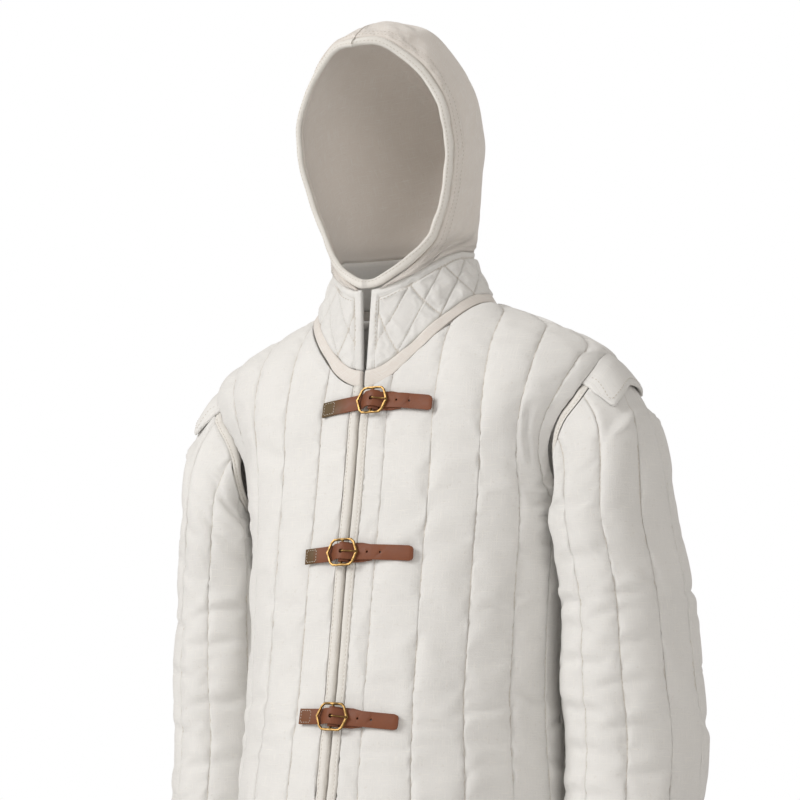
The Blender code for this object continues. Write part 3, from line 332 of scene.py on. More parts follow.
    def half_width(self, height: Array, y: Array) -> Array:
        """Returns how far the surface is from the middle plane at a height and y."""
        share = abs(y - self.ridge) / self.nearer_depth(height, y)
        return self.half(height) * np.clip(1 - share**ROUNDNESS, 0, 1) ** (1 / ROUNDNESS)

    def over(self, x: Array, y: Array) -> Array:
        """Returns the height at which the shoulders pass over a place near the neck."""
        low, high = np.full_like(x, -0.150), np.full_like(x, BODY_LEVELS[-1][0])
        return bisect(low, high, lambda z: self.measure(np.stack((x, y, z), axis=-1)) < 1, 36)

    def distance(self, reference: Array, height: Array, back: bool) -> Array:
        """Returns how far from the middle a column lies.

        Args:
            reference: the column's distance at the waist.
            height: heights.
            back: whether it is on the back.

        Returns:
            Distances along the cloth at those heights.
        """
        side = float(self.side(self.waist, back))
        spread = np.where(height < self.waist, np.maximum(1, self.side(height, back) / side), 1)
        start = self.free_line * spread
        share = np.clip((reference - self.free_line) / (side - self.free_line), 0, 1)
        edge = np.interp(height, self.heights, self.edge[back])
        eased = np.interp(height, self.heights, self.eased[back])
        far = start + share * (eased + (edge - eased) * share**2.5 - start)
        return np.where(reference <= self.free_line, reference * spread, far)

    def top(self, reference: Array, back: bool) -> Array:
        """Returns the heights at which columns end, on the neckline or the shoulder seam."""
        width, front, rear = self.neck
        low = np.full_like(reference, self.shoulder_tip - 0.060)
        high = np.full_like(reference, BODY_LEVELS[-1][0])

        def below(height: Array) -> Array:
            """Returns whether the columns are still below the neckline and the shoulder seam."""
            distance = self.distance(reference, height, back)
            x, y, _ = np.moveaxis(self.point(height, distance, back), -1, 0)
            oval = (x / width) ** 2 + ((y - (front + rear) / 2) / ((rear - front) / 2)) ** 2
            return ~((distance > self.side(height, back) - SEAM) | (oval < 1))

        side = float(self.side(self.waist, back))
        return np.where(reference >= side - 1e-6, self.shoulder_tip, bisect(low, high, below, 32))


BODY = BodyForm()


# ---- cloth ----


@dataclass(frozen=True)
class Crease:
    """A fold given in a piece's own sizes: a soft trough with a ridge beside it."""

    u0: float
    v0: float
    u1: float
    v1: float
    width: float = 0.006
    depth: float = 0.0025
    bow: float = 0.0
    ridge: float = 0.6

    def lift(self, u: Array, v: Array) -> Array:
        """Returns how far the fold moves the cloth out.

        Args:
            u: places across the piece.
            v: places along it.

        Returns:
            Distances, below 0 in the trough.
        """
        run_u, run_v = self.u1 - self.u0, self.v1 - self.v0
        length = math.hypot(run_u, run_v)
        t = ((u - self.u0) * run_u + (v - self.v0) * run_v) / length**2
        off = ((u - self.u0) * run_v - (v - self.v0) * run_u) / length
        off = off - self.bow * 4 * t * (1 - t)
        ends = smooth(t, -0.08, 0.28) * (1 - smooth(t, 0.65, 1.08))
        trough = peak(off, self.width)
        bank = peak(off, 1.3 * self.width, 1.7 * self.width)
        return self.depth * ends * (self.ridge * bank - trough)


def pillow(share: Array) -> Array:
    """Returns how full a channel is across its width, 0 at its stitching and 1 on its crest."""
    off = np.abs(2 * share - 1)
    return 0.62 * (1 - off**8) ** 0.55 + 0.38 * (1 - off**2.3)


def channel_columns(edges: Array | tuple, pulls: tuple, cells: int = 12, crowd: float = 0.84) -> tuple:
    """Lays columns across a row of channels, crowded beside the stitching.

    Args:
        edges: where the channels' edges are.
        pulls: how fully the cloth is pulled in at each edge.
        cells: cells across a channel.
        crowd: how much closer they are beside the stitching.

    Returns:
        Places, how full the cloth is at each, and whether each is on an edge.
    """
    step = np.arange(cells) / cells
    step = step - crowd * np.sin(2 * math.pi * step) / (2 * math.pi)
    places, full, on_line = [], [], []
    for k in range(len(edges) - 1):
        places.append(edges[k] + (edges[k + 1] - edges[k]) * step)
        pull = np.where(step < 0.5, pulls[k], pulls[k + 1])
        full.append(1 - pull * (1 - pillow(step)))
        on_line.append(step == 0)
    places.append([edges[-1]])
    full.append([1 - pulls[-1]])
    on_line.append([True])
    return np.concatenate(places), np.concatenate(full), np.concatenate(on_line)


@dataclass
class Layer:
    """One layer of cloth as a grid: its places, the directions out of it, and where it is held."""

    points: Array
    normals: Array
    u: Array
    v: Array
    full: Array
    held: Array | None = None
    closed: bool = False

    def moved(self, lift: Array | float) -> Array:
        """Returns the points moved out of the cloth, or into it where the distance is below 0."""
        return self.points + self.normals * np.asarray(lift)[..., None]

    def raised(self, depth: float, creases: list, seed: int, lumps: float = 0.20) -> Array:
        """Returns the outer points with their channels raised and their folds laid in.

        Args:
            depth: how far the stitching is pulled in.
            creases: the folds.
            seed: picks the lumps of the batting.
            lumps: how uneven the crests are.

        Returns:
            The outer grid.
        """
        uneven = lumps * ripple(self.u, self.v, 0.060, seed, 1.7) * self.full
        lift = -depth * (1 - self.full * (1 + uneven))
        for crease in creases:
            lift = lift + crease.lift(self.u, self.v) * (0.35 + 0.65 * self.full)
        return self.moved(lift)

    def mirrored(self) -> "Layer":
        """Returns the layer on the other side of the middle plane."""
        return replace(self, points=self.points * MIRROR, normals=self.normals * MIRROR)

    def size(self) -> tuple[float, float, float]:
        """Returns the layer's greatest width and length, and its area."""
        rows = np.concatenate((self.points, self.points[:, :1]), axis=1) if self.closed else self.points
        width = np.linalg.norm(np.diff(rows, axis=1), axis=2).sum(axis=1).max()
        length = np.linalg.norm(np.diff(rows, axis=0), axis=2).sum(axis=0).max()
        a, b, c, d = rows[:-1, :-1], rows[:-1, 1:], rows[1:, 1:], rows[1:, :-1]
        area = np.linalg.norm(np.cross(c - a, d - b), axis=2).sum() / 2
        return float(width), float(length), float(area)


def turned_in(outer: Array, inner: Array, away: Array, normals: Array) -> tuple[Array, Array]:
    """Draws a wall's two layers together at a turned-in edge.

    Args:
        outer: the outer grid.
        inner: the inner grid.
        away: how far each point is from the edge.
        normals: the directions out of the cloth.

    Returns:
        Both grids.
    """
    rim = peak(away, FOLD_SIZE)[..., None] * normals
    return outer - rim * 0.0022, inner + rim * 0.0016


def new_object(name: str, points: Array, faces: list) -> bpy.types.Object:
    """Makes a mesh object with its faces turned outwards.

    Args:
        name: the object's name.
        points: its points.
        faces: corner numbers of each face.

    Returns:
        The object, smooth shaded and linked to the scene.
    """
    mesh = bpy.data.meshes.new(name)
    mesh.from_pydata(np.asarray(points, float).reshape(-1, 3).tolist(), [], faces)
    mesh.shade_smooth()
    made = bpy.data.objects.new(name, mesh)
    bpy.context.scene.collection.objects.link(made)
    return made


def pick(chosen: bpy.types.Object) -> None:
    """Selects one object and makes it the active one."""
    bpy.ops.object.select_all(action="DESELECT")
    chosen.select_set(True)
    bpy.context.view_layer.objects.active = chosen


def keep_values(mesh: bpy.types.Mesh, name: str, values: Array) -> None:
    """Keeps one number for each point of a mesh, for its finish to read."""
    mesh.attributes.new(name, "FLOAT", "POINT").data.foreach_set("value", values.astype(np.float32))


def keep_coordinates(mesh: bpy.types.Mesh, u: Array, v: Array, full: Array) -> None:
    """Keeps the cloth's own coordinates, in metres, and how full its padding is, which the finish also reads
    to paint shade where it is low.

    Args:
        mesh: the mesh.
        u: each point's place across the cloth.
        v: its place along the cloth.
        full: how full the padding is there.
    """
    corner = np.empty(len(mesh.loops), np.int32)
    mesh.loops.foreach_get("vertex_index", corner)
    uv = np.stack((u, v), 1)[corner]
    mesh.uv_layers.new(name="cloth").data.foreach_set("uv", uv.ravel())
    keep_values(mesh, "full", full)


def grid_faces(rows: int, columns: int, closed: bool) -> Array:
    """Returns the faces of a grid, counted along its rows.

    Args:
        rows: how many rows.
        columns: how many columns.
        closed: whether each row is a ring.

    Returns:
        Corner numbers, four to a face.
    """
    spans = columns if closed else columns - 1
    i, j = (a.ravel() for a in np.meshgrid(np.arange(rows - 1), np.arange(spans), indexing="ij"))
    right, low, high = (j + 1) % columns, i * columns, (i + 1) * columns
    return np.stack((low + j, low + right, high + right, high + j), 1)


@dataclass(frozen=True)
class Settling:
    """How a layer of cloth, held along its stitching, swells and puckers in the cloth simulation."""

    grow: float = 0.024
    press: float = 0.4
    cap: float = 0.0015
    bending: float = 0.6
    steps: int = 16

    def settle(self, name: str, layer: Layer, outer: Array) -> Array:
        """Lets the layer settle.

        Args:
            name: names the working object.
            layer: the layer, whose held points stay where they are.
            outer: its points before it settles.

        Returns:
            The settled points.
        """
        rows, columns = outer.shape[:2]
        faces = grid_faces(rows, columns, layer.closed)
        facing = np.sum(grid_normals(outer, layer.closed) * layer.normals, axis=-1).mean()
        work = new_object(name + "_settling", outer, (faces if facing > 0 else faces[:, ::-1]).tolist())
        group = work.vertex_groups.new(name="held")
        group.add([int(k) for k in np.flatnonzero(layer.held.ravel())], 1.0, "REPLACE")
        pick(work)
        cloth = work.modifiers.new("settle", "CLOTH")
        setting = cloth.settings
        setting.quality = 3
        setting.mass = 0.25
        setting.vertex_group_mass = "held"
        setting.tension_stiffness = setting.compression_stiffness = 12
        setting.shear_stiffness = 4
        setting.bending_stiffness = self.bending
        setting.air_damping = 4
        setting.shrink_min = -self.grow
        setting.use_pressure = self.press > 0
        setting.uniform_pressure_force = self.press
        setting.effector_weights.gravity = 0
        cloth.collision_settings.use_collision = False
        for step in range(1, self.steps + 1):
            bpy.context.scene.frame_set(step)
        bpy.ops.object.modifier_apply(modifier=cloth.name)
        settled = np.empty(rows * columns * 3)
        work.data.vertices.foreach_get("co", settled)
        bpy.data.objects.remove(work, do_unlink=True)
        bpy.context.scene.frame_set(1)
        move = settled.reshape(outer.shape) - outer
        size = np.linalg.norm(move, axis=-1, keepdims=True)
        LOG.info("%s settled by %.2f mm on average", name, size.mean() * 1e3)
        return outer + move * (self.cap * np.tanh(size / self.cap) / np.maximum(size, 1e-9))


class ClothPiece:
    """A wall of cloth that replaces one of the solids."""

    def __init__(self, node: str, outer: Array, inner: Array, layer: Layer) -> None:
        """Joins the outer and inner layers and keeps the cloth's own coordinates.

        Args:
            node: the solid that it replaces.
            outer: the outer grid.
            inner: the inner grid.
            layer: the layer that the outer grid came from.
        """
        rows, columns = outer.shape[:2]
        count = rows * columns
        top = grid_faces(rows, columns, layer.closed)
        j = np.arange(columns if layer.closed else columns - 1)
        faces = [top, count + top[:, ::-1]]
        for row, turn in ((0, -1), (rows - 1, 1)):
            a, b = row * columns + j, row * columns + (j + 1) % columns
            faces.append(np.stack((a, count + a, count + b, b), 1)[:, ::-turn])
        if not layer.closed:
            i = np.arange(rows - 1)
            for column, turn in ((0, 1), (columns - 1, -1)):
                a, b = i * columns + column, (i + 1) * columns + column
                faces.append(np.stack((a, count + a, count + b, b), 1)[:, ::-turn])
        faces = np.concatenate(faces)
        if np.sum(grid_normals(outer, layer.closed) * layer.normals, axis=-1).mean() < 0:
            faces = faces[:, ::-1]
        points = np.concatenate((outer.reshape(-1, 3), inner.reshape(-1, 3)))
        self.node = node
        self.layer = layer
        self.outer = outer
        self.object = new_object("cloth_" + node, points, faces.tolist())
        full = np.concatenate((layer.full.ravel(), np.full(count, 0.8)))
        keep_coordinates(self.object.data, np.tile(layer.u.ravel(), 2), np.tile(layer.v.ravel(), 2), full)
        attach(self.object, "root")
        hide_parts(node)

    def line(self, rows: int | slice | Array, columns: int | slice | Array) -> tuple[Array, Array]:
        """Returns points and outward directions along a line of the outer grid."""
        return self.outer[rows, columns], self.layer.normals[rows, columns]

    def between(self, row: int, place: float) -> Array:
        """Returns a point of the outer grid between two columns of a row."""
        column = min(int(place), self.outer.shape[1] - 2)
        near, far = self.outer[row, column : column + 2]
        return near + (far - near) * (place - column)

    def dressed(self, finish: "Finish") -> "ClothPiece":
        """Gives the piece its finish and says what size the cloth was cut to.

        Args:
            finish: the cloth.

        Returns:
            The piece.
        """
        self.object.data.materials.append(finish.material())
        width, length, area = self.layer.size()
        if min(width, length) < 0.012:
            LOG.info("%s: a padded roll %.3f x %.3f m", self.node, width, length)
            return self
        LOG.info("%s: %.3f x %.3f m, %.3f m2", self.node, width, length, area)
        return self


# ---- stitching ----


@dataclass(frozen=True)
class Thread:
    """Sewing thread, as small stitches that lie along lines of points."""

    pitch: float = 0.0042
    length: float = 0.0030
    radius: float = 0.00042
    proud: float = 0.0001

    def stitches(self, name: str, lines: list, finish: "Finish") -> bpy.types.Object:
        """Lays every line's stitches in one piece.

        Args:
            name: the piece's name.
            lines: pairs of points and outward directions along each line.
            finish: the thread's finish.

        Returns:
            The piece.
        """
        centres, ways, outs = [], [], []
        for path, out in lines:
            along = travelled(path)
            number = int(along[-1] / self.pitch)
            if number < 1:
                continue
            middle = (np.arange(number) + 0.5) * along[-1] / number
            half = self.length / 2
            start, end, normal = (
                np.stack([np.interp(place, along, data[:, axis]) for axis in range(3)], 1)
                for place, data in ((middle - half, path), (middle + half, path), (middle, out))
            )
            centres.append((start + end) / 2)
            ways.append(unit(end - start))
            outs.append(unit(normal))
        centre, way, out = (np.concatenate(part) for part in (centres, ways, outs))
        side = unit(np.cross(way, out))
        profile = ((-0.5, 0.45, -1.2), (-0.24, 1.0, 0.0), (0.24, 1.0, 0.0), (0.5, 0.45, -1.2))
        corners = ((1, 0), (0, 1), (-1, 0), (0, -1))
        rings = []
        for place, size, dip in profile:
            base = centre + way * (self.length * place) + out * (self.proud + self.radius * dip)
            rings.append([base + self.radius * size * (side * a + out * b) for a, b in corners])
        points = np.array(rings).transpose(2, 0, 1, 3)
        first = np.arange(len(centre))[:, None] * 16
        cell = []
        for r in range(3):
            for s in range(4):
                t = (s + 1) % 4
                cell.append((4 * r + s, 4 * r + 4 + s, 4 * r + 4 + t, 4 * r + t))
        cell += [(0, 1, 2, 3), (15, 14, 13, 12)]
        faces = (first[:, None, :] + np.array(cell)[None]).reshape(-1, 4)
        made = new_object(name, points, faces.tolist())
        made.data.materials.append(finish.material())
        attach(made, "root")
        LOG.info("%s: %d stitches", name, len(centre))
        return made


# ---- folds ----

# Each piece's folds, in millimetres: start and end (across, along), then width, depth and bow
FOLDS = {
    "front_left": (
        (116, -418, 194, -407, 5.5, 2.6, 2), (68, -428, 140, -437, 5, 2, -2),
        (126, -443, 192, -447, 6, 1.5, 1), (30, -456, 100, -449, 6, 1.3, 2),
        (140, -466, 220, -473, 7.5, 1.5, -3), (188, -396, 246, -404, 6, 1.8, 3),
        (232, -432, 305, -418, 6.5, 2.6, -3), (222, -462, 300, -470, 7, 2, 2),
        (160, -306, 208, -297, 5, 1.7, 2), (196, -214, 240, -202, 4, 3.6, 2),
        (200, -228, 246, -222, 4.2, 3, -1), (214, -196, 248, -186, 3.6, 2.8, 1),
        (206, -246, 252, -250, 5, 1.8, 2), (196, -108, 214, -180, 5, 2.6, 4),
        (40, -236, 118, -196, 10, 1.2, 4), (112, -150, 186, -182, 9, 1.4, -4),
        (60, -540, 90, -720, 15, 1.8, 6), (170, -560, 178, -790, 17, 2.4, -6),
        (262, -520, 270, -760, 15, 2.2, 5), (20, -700, 130, -716, 9, 1.2, 4),
        (120, -810, 230, -800, 10, 1.4, -4),
    ),
    "front_right": (
        (30, -424, 108, -430, 5.5, 2, 2), (92, -404, 176, -412, 5.8, 2.6, -2),
        (150, -436, 226, -424, 6.2, 2.4, 3), (60, -452, 132, -447, 6, 1.4, -1),
        (196, -398, 270, -410, 6.2, 2.2, 3), (206, -452, 296, -446, 7, 2, -3),
        (180, -180, 226, -206, 4.5, 3, -2), (190, -205, 240, -224, 5, 2.6, 2),
        (198, -240, 246, -246, 5, 1.8, 2), (70, -170, 150, -140, 9.5, 1.4, 3),
        (50, -320, 120, -300, 10, 1.2, 3), (80, -540, 70, -740, 15, 2, -6),
        (190, -540, 206, -780, 17, 2.4, 6), (30, -640, 130, -650, 9, 1.2, -3),
        (140, -830, 260, -815, 10, 1.4, 4),
    ),
    "back": (
        (-120, -384, 22, -392, 6, 2.6, 3), (18, -408, 150, -396, 6, 2.4, -3),
        (-210, -410, -84, -420, 6.5, 2.4, -3), (104, -432, 230, -422, 6.5, 2.2, 3),
        (-60, -436, 64, -442, 6.5, 2, 2), (-230, -452, -120, -446, 7, 1.8, 2),
        (-170, -116, -52, -176, 9, 1.6, 6), (56, -182, 176, -122, 9, 1.8, -6),
        (-40, -70, 44, -74, 9, 1.4, 3), (196, -190, 250, -214, 5, 2.8, 2),
        (-250, -206, -200, -190, 5, 2.6, 2), (-252, -236, -204, -226, 5.2, 2.2, 2),
        (-130, -520, -120, -760, 17, 2.6, 6), (24, -560, 10, -800, 18, 2.2, -6),
        (150, -520, 166, -740, 17, 2.6, 6), (-180, -815, -40, -805, 10, 1.4, 4),
        (60, -690, 190, -700, 10, 1.4, -4),
    ),
    "sleeve_left": (
        (186, -314, 126, -314, 5, 3.4, 3), (102, -304, 48, -299, 5, 3.4, -2),
        (176, -333, 118, -342, 5.5, 2.2, 2), (116, -326, 62, -320, 5, 2.2, 2),
        (112, -354, 50, -346, 6, 2, -2), (168, -368, 100, -374, 6, 2.2, 2),
        (120, -398, 50, -388, 6, 2, 3), (180, -408, 104, -418, 6.2, 2.4, -3),
        (116, -436, 46, -430, 6, 2.2, 2), (176, -452, 96, -460, 6.2, 2.4, 2),
        (104, -478, 42, -472, 6, 2, -2), (182, -496, 90, -504, 6.5, 2.2, 3),
        (112, -530, 44, -522, 6.5, 1.8, 2), (166, -226, 100, -214, 8, 1.4, 3),
        (104, -256, 46, -270, 8, 1.4, -3), (160, -276, 92, -268, 7.5, 1.6, 2),
        (260, -298, 340, -312, 6, 2.6, 3), (350, -330, 440, -320, 6, 2.8, -3),
        (270, -350, 350, -344, 6, 2.2, 2), (400, -290, 480, -302, 6, 2.4, 3),
        (280, -402, 370, -412, 7, 2.2, 3), (380, -440, 470, -430, 7, 2.2, -3),
        (270, -476, 350, -468, 7, 2, 2), (400, -510, 490, -518, 7, 2, 2),
        (330, -190, 420, -214, 8, 1.8, 4),
    ),
    "sleeve_right": (
        (98, -184, 178, -260, 5.5, 3.2, 3), (82, -214, 152, -280, 5.5, 2.4, -3),
        (122, -166, 188, -226, 5, 2.6, 2), (70, -246, 120, -288, 6, 1.8, 2),
        (180, -310, 112, -318, 5.5, 3, 2), (104, -330, 50, -322, 5.5, 2.6, -2),
        (170, -346, 100, -352, 6, 2.2, 2), (120, -384, 52, -376, 6, 2, 2),
        (176, -404, 104, -412, 6.5, 2.2, -2), (112, -444, 46, -436, 6, 2, 2),
        (170, -472, 94, -480, 6.5, 2.2, 3), (110, -514, 46, -508, 6.5, 1.8, -2),
        (264, -306, 346, -298, 6, 2.6, -3), (360, -322, 450, -332, 6, 2.8, 3),
        (280, -360, 360, -352, 6.5, 2.2, 2), (390, -388, 476, -398, 6.5, 2.2, 3),
        (276, -430, 360, -440, 7, 2.2, -3), (380, -486, 470, -478, 7, 2, 3),
        (330, -212, 420, -190, 8, 1.8, 4),
    ),
    "collar": (
        (-214, 10, -150, 19, 6, 1.2, 2), (-130, 46, -80, 20, 7, 1.4, 2),
        (90, 18, 176, 10, 6.5, 1.4, -2), (200, 14, 230, 52, 6, 1.4, 2),
        (-62, 34, 50, 27, 8.5, 1.6, 2),
    ),
    "hood_left": (
        (16, 20, 60, 120, 10, 2.2, 4), (70, 12, 120, 100, 11, 2.4, -4),
        (24, 150, 60, 235, 12, 1.8, 5), (90, 170, 150, 250, 13, 2, -5),
        (12, 16, 104, 24, 6, 1.6, 2), (110, 30, 190, 20, 7, 1.8, 2),
        (150, 80, 200, 150, 11, 2, 4),
    ),
    "hood_right": (
        (20, 22, 70, 105, 10, 2.2, -4), (84, 14, 130, 110, 11, 2.4, 4),
        (30, 140, 66, 220, 12, 1.8, -5), (100, 160, 160, 240, 13, 2, 5),
        (20, 18, 110, 22, 6, 1.6, 2), (120, 26, 196, 18, 7, 1.8, 2),
    ),
}
CREASES = {node: [Crease(*(size * 0.001 for size in row)) for row in rows] for node, rows in FOLDS.items()}


# ---- body ----


@dataclass
class Panel:
    """One quilted panel of the body: a front or the back."""

    node: str
    edges: tuple
    pulls: tuple
    back: bool = False
    right: bool = False
    seed: int = 1
    lower_rows: int = 176
    upper_rows: int = 58
    hem_line: float = 0.014

    def layer(self) -> Layer:
        """Returns the panel's surface, with its columns on the stitching."""
        places, full, on_line = channel_columns(self.edges, self.pulls)
        if self.back:
            places = np.concatenate((-places[:0:-1], places))
            full = np.concatenate((full[:0:-1], full))
            on_line = np.concatenate((on_line[:0:-1], on_line))
        reference = np.abs(places)
        top = BODY.top(reference, self.back)
        share = np.arange(1, self.upper_rows + 1) / self.upper_rows
        share = 0.4 * share + 0.6 * (1 - np.cos(math.pi * share)) / 2
        lower = np.linspace(BODY.hem, BODY.armpit, self.lower_rows + 1)[:, None] + np.zeros(len(places))
        height = np.concatenate((lower, BODY.armpit + (top - BODY.armpit) * share[:, None]))
        distance = BODY.distance(reference + 0 * height, height, self.back) * np.where(places < 0, -1, 1)
        points = BODY.point(height, distance, self.back)
        rows = len(height)
        held = np.tile(on_line, (rows, 1))
        held[0] = held[-1] = True
        full = np.tile(full, (rows, 1))
        hem = np.abs(height - BODY.hem - self.hem_line)
        full = full * (1 - 0.45 * peak(hem, FOLD_SIZE))
        u = places + np.zeros_like(height)
        made = Layer(points, BODY.normal(points), u, height, full, held)
        return made.mirrored() if self.right else made

    def build(self, finish: "Finish") -> ClothPiece:
        """Builds and dresses the panel.

        Args:
            finish: its cloth.

        Returns:
            The piece.
        """
        layer = self.layer()
        outer = layer.raised(QUILT_DEPTH, CREASES[self.node], self.seed)
        outer = Settling().settle(self.node, layer, outer)
        inner = layer.moved(-PADDING - 0.0008 * ripple(layer.u, layer.v, 0.09, self.seed + 40))
        outer, inner = turned_in(outer, inner, layer.v - BODY.hem, layer.normals)
        return ClothPiece(self.node, outer, inner, layer).dressed(finish)

    def lines(self, piece: ClothPiece) -> list:
        """Returns the lines of stitching that run up the finished panel and along its hem."""
        found = []
        ends = (0, piece.outer.shape[1] - 1)
        for column in np.flatnonzero(piece.layer.held[5]):
            if column not in ends:
                found.append(piece.line(slice(2, -1), column))
        row = nearest(piece.layer.v[:, 0] - BODY.hem, self.hem_line)
        return [*found, piece.line(row, slice(1, -1))]


@dataclass
class Body:
    """The back, the two fronts and the bound edges that meet down the middle."""

    lines_left: tuple = (0.032, 0.082, 0.132, 0.182, 0.232)
    lines_right: tuple = (0.046, 0.096, 0.146, 0.196)
    lines_back: tuple = (0.050, 0.100, 0.150, 0.200)
    gap: float = 0.0017
    edge_width: float = 0.0095
    edge_thickness: float = 0.0105
    edge_line: float = 0.72

    def build(self, cloth: "Finish", binding: "Finish", thread: "Finish") -> None:
        """Builds and dresses the body.

        Args:
            cloth: the quilted cotton.
            binding: the bound edges' cotton.
            thread: the sewing thread.
        """
        start = self.gap + self.edge_width + 2 * SEAM
        side_front = float(BODY.side(BODY.waist, False))
        side_back = float(BODY.side(BODY.waist, True))
        panels = []
        for node, lines, right, seed in (
            ("front_left", self.lines_left, False, 3),
            ("front_right", self.lines_right, True, 5),
        ):
            edges = (start, *lines, side_front)
            pulls = (0.35, *(1.0,) * len(lines), 0.35)
            panels.append(Panel(node, edges, pulls, right=right, seed=seed))
        edges = (0.0, *self.lines_back, side_back)
        panels.append(Panel("back", edges, (*(1.0,) * 5, 0.35), back=True, seed=7))
        sewing = []
        for panel in panels:
            sewing += panel.lines(panel.build(cloth))
        for side in ("left", "right"):
            sewing += self.front_edge(side, binding)
        Thread().stitches("body_stitching", sewing, thread)

    def front_edge(self, side: str, binding: "Finish") -> list:
        """Builds one bound front edge as a soft roll.

        Args:
            side: left or right.
            binding: its cotton.

        Returns:
            Its line of stitching.
        """
        share = np.linspace(0, 1, 13)
        roll = 0.0020 * np.abs(2 * share - 1) ** 4 - 0.0006
        dent = 0.0009 * peak(share, 0.10, self.edge_line)
        places = self.gap + share * self.edge_width
        top = float(BODY.top(np.array([places[-1]]), False)[0])
        heights = np.linspace(BODY.hem, top, 240)[:, None] + 0 * places
        points = BODY.point(heights, places + 0 * heights)
        # low along the stitching line, where the binding's finish paints shade
        full = 1 - 0.8 * peak(share, 0.10, self.edge_line) + 0 * heights
        layer = Layer(points, BODY.normal(points), places + 0 * heights, heights, full)
        if side == "right":
            layer = layer.mirrored()
        seed = 11 if side == "left" else 12
        wave = 0.0003 * ripple(0 * heights, heights, 0.022, seed)
        outer = layer.moved(-roll - dent - wave)
        inner = layer.moved(roll * 0.6 + 0.0012 - self.edge_thickness)
        piece = ClothPiece(f"front_edge_{side}", outer, inner, layer).dressed(binding)
        return [piece.line(slice(None), nearest(share, self.edge_line))]


# ---- sleeves ----

# The sleeve below its head: height, x and y of the middle, half width and half depth
SLEEVE_LEVELS = (
    (-0.580, 0.230, 0.022, 0.062, 0.070),
    (-0.502, 0.234, 0.038, 0.068, 0.086),
    (-0.444, 0.234, 0.044, 0.070, 0.088),
    (-0.378, 0.233, 0.038, 0.067, 0.089),
    (-0.321, 0.232, 0.036, 0.063, 0.088),
    (-0.235, 0.222, 0.026, 0.062, 0.088),
)


def from_top(angle: Array) -> Array:
    """Returns how many degrees round the arm an angle is from the sleeve's top."""
    return np.degrees(np.abs((angle + math.pi) % (2 * math.pi) - math.pi))


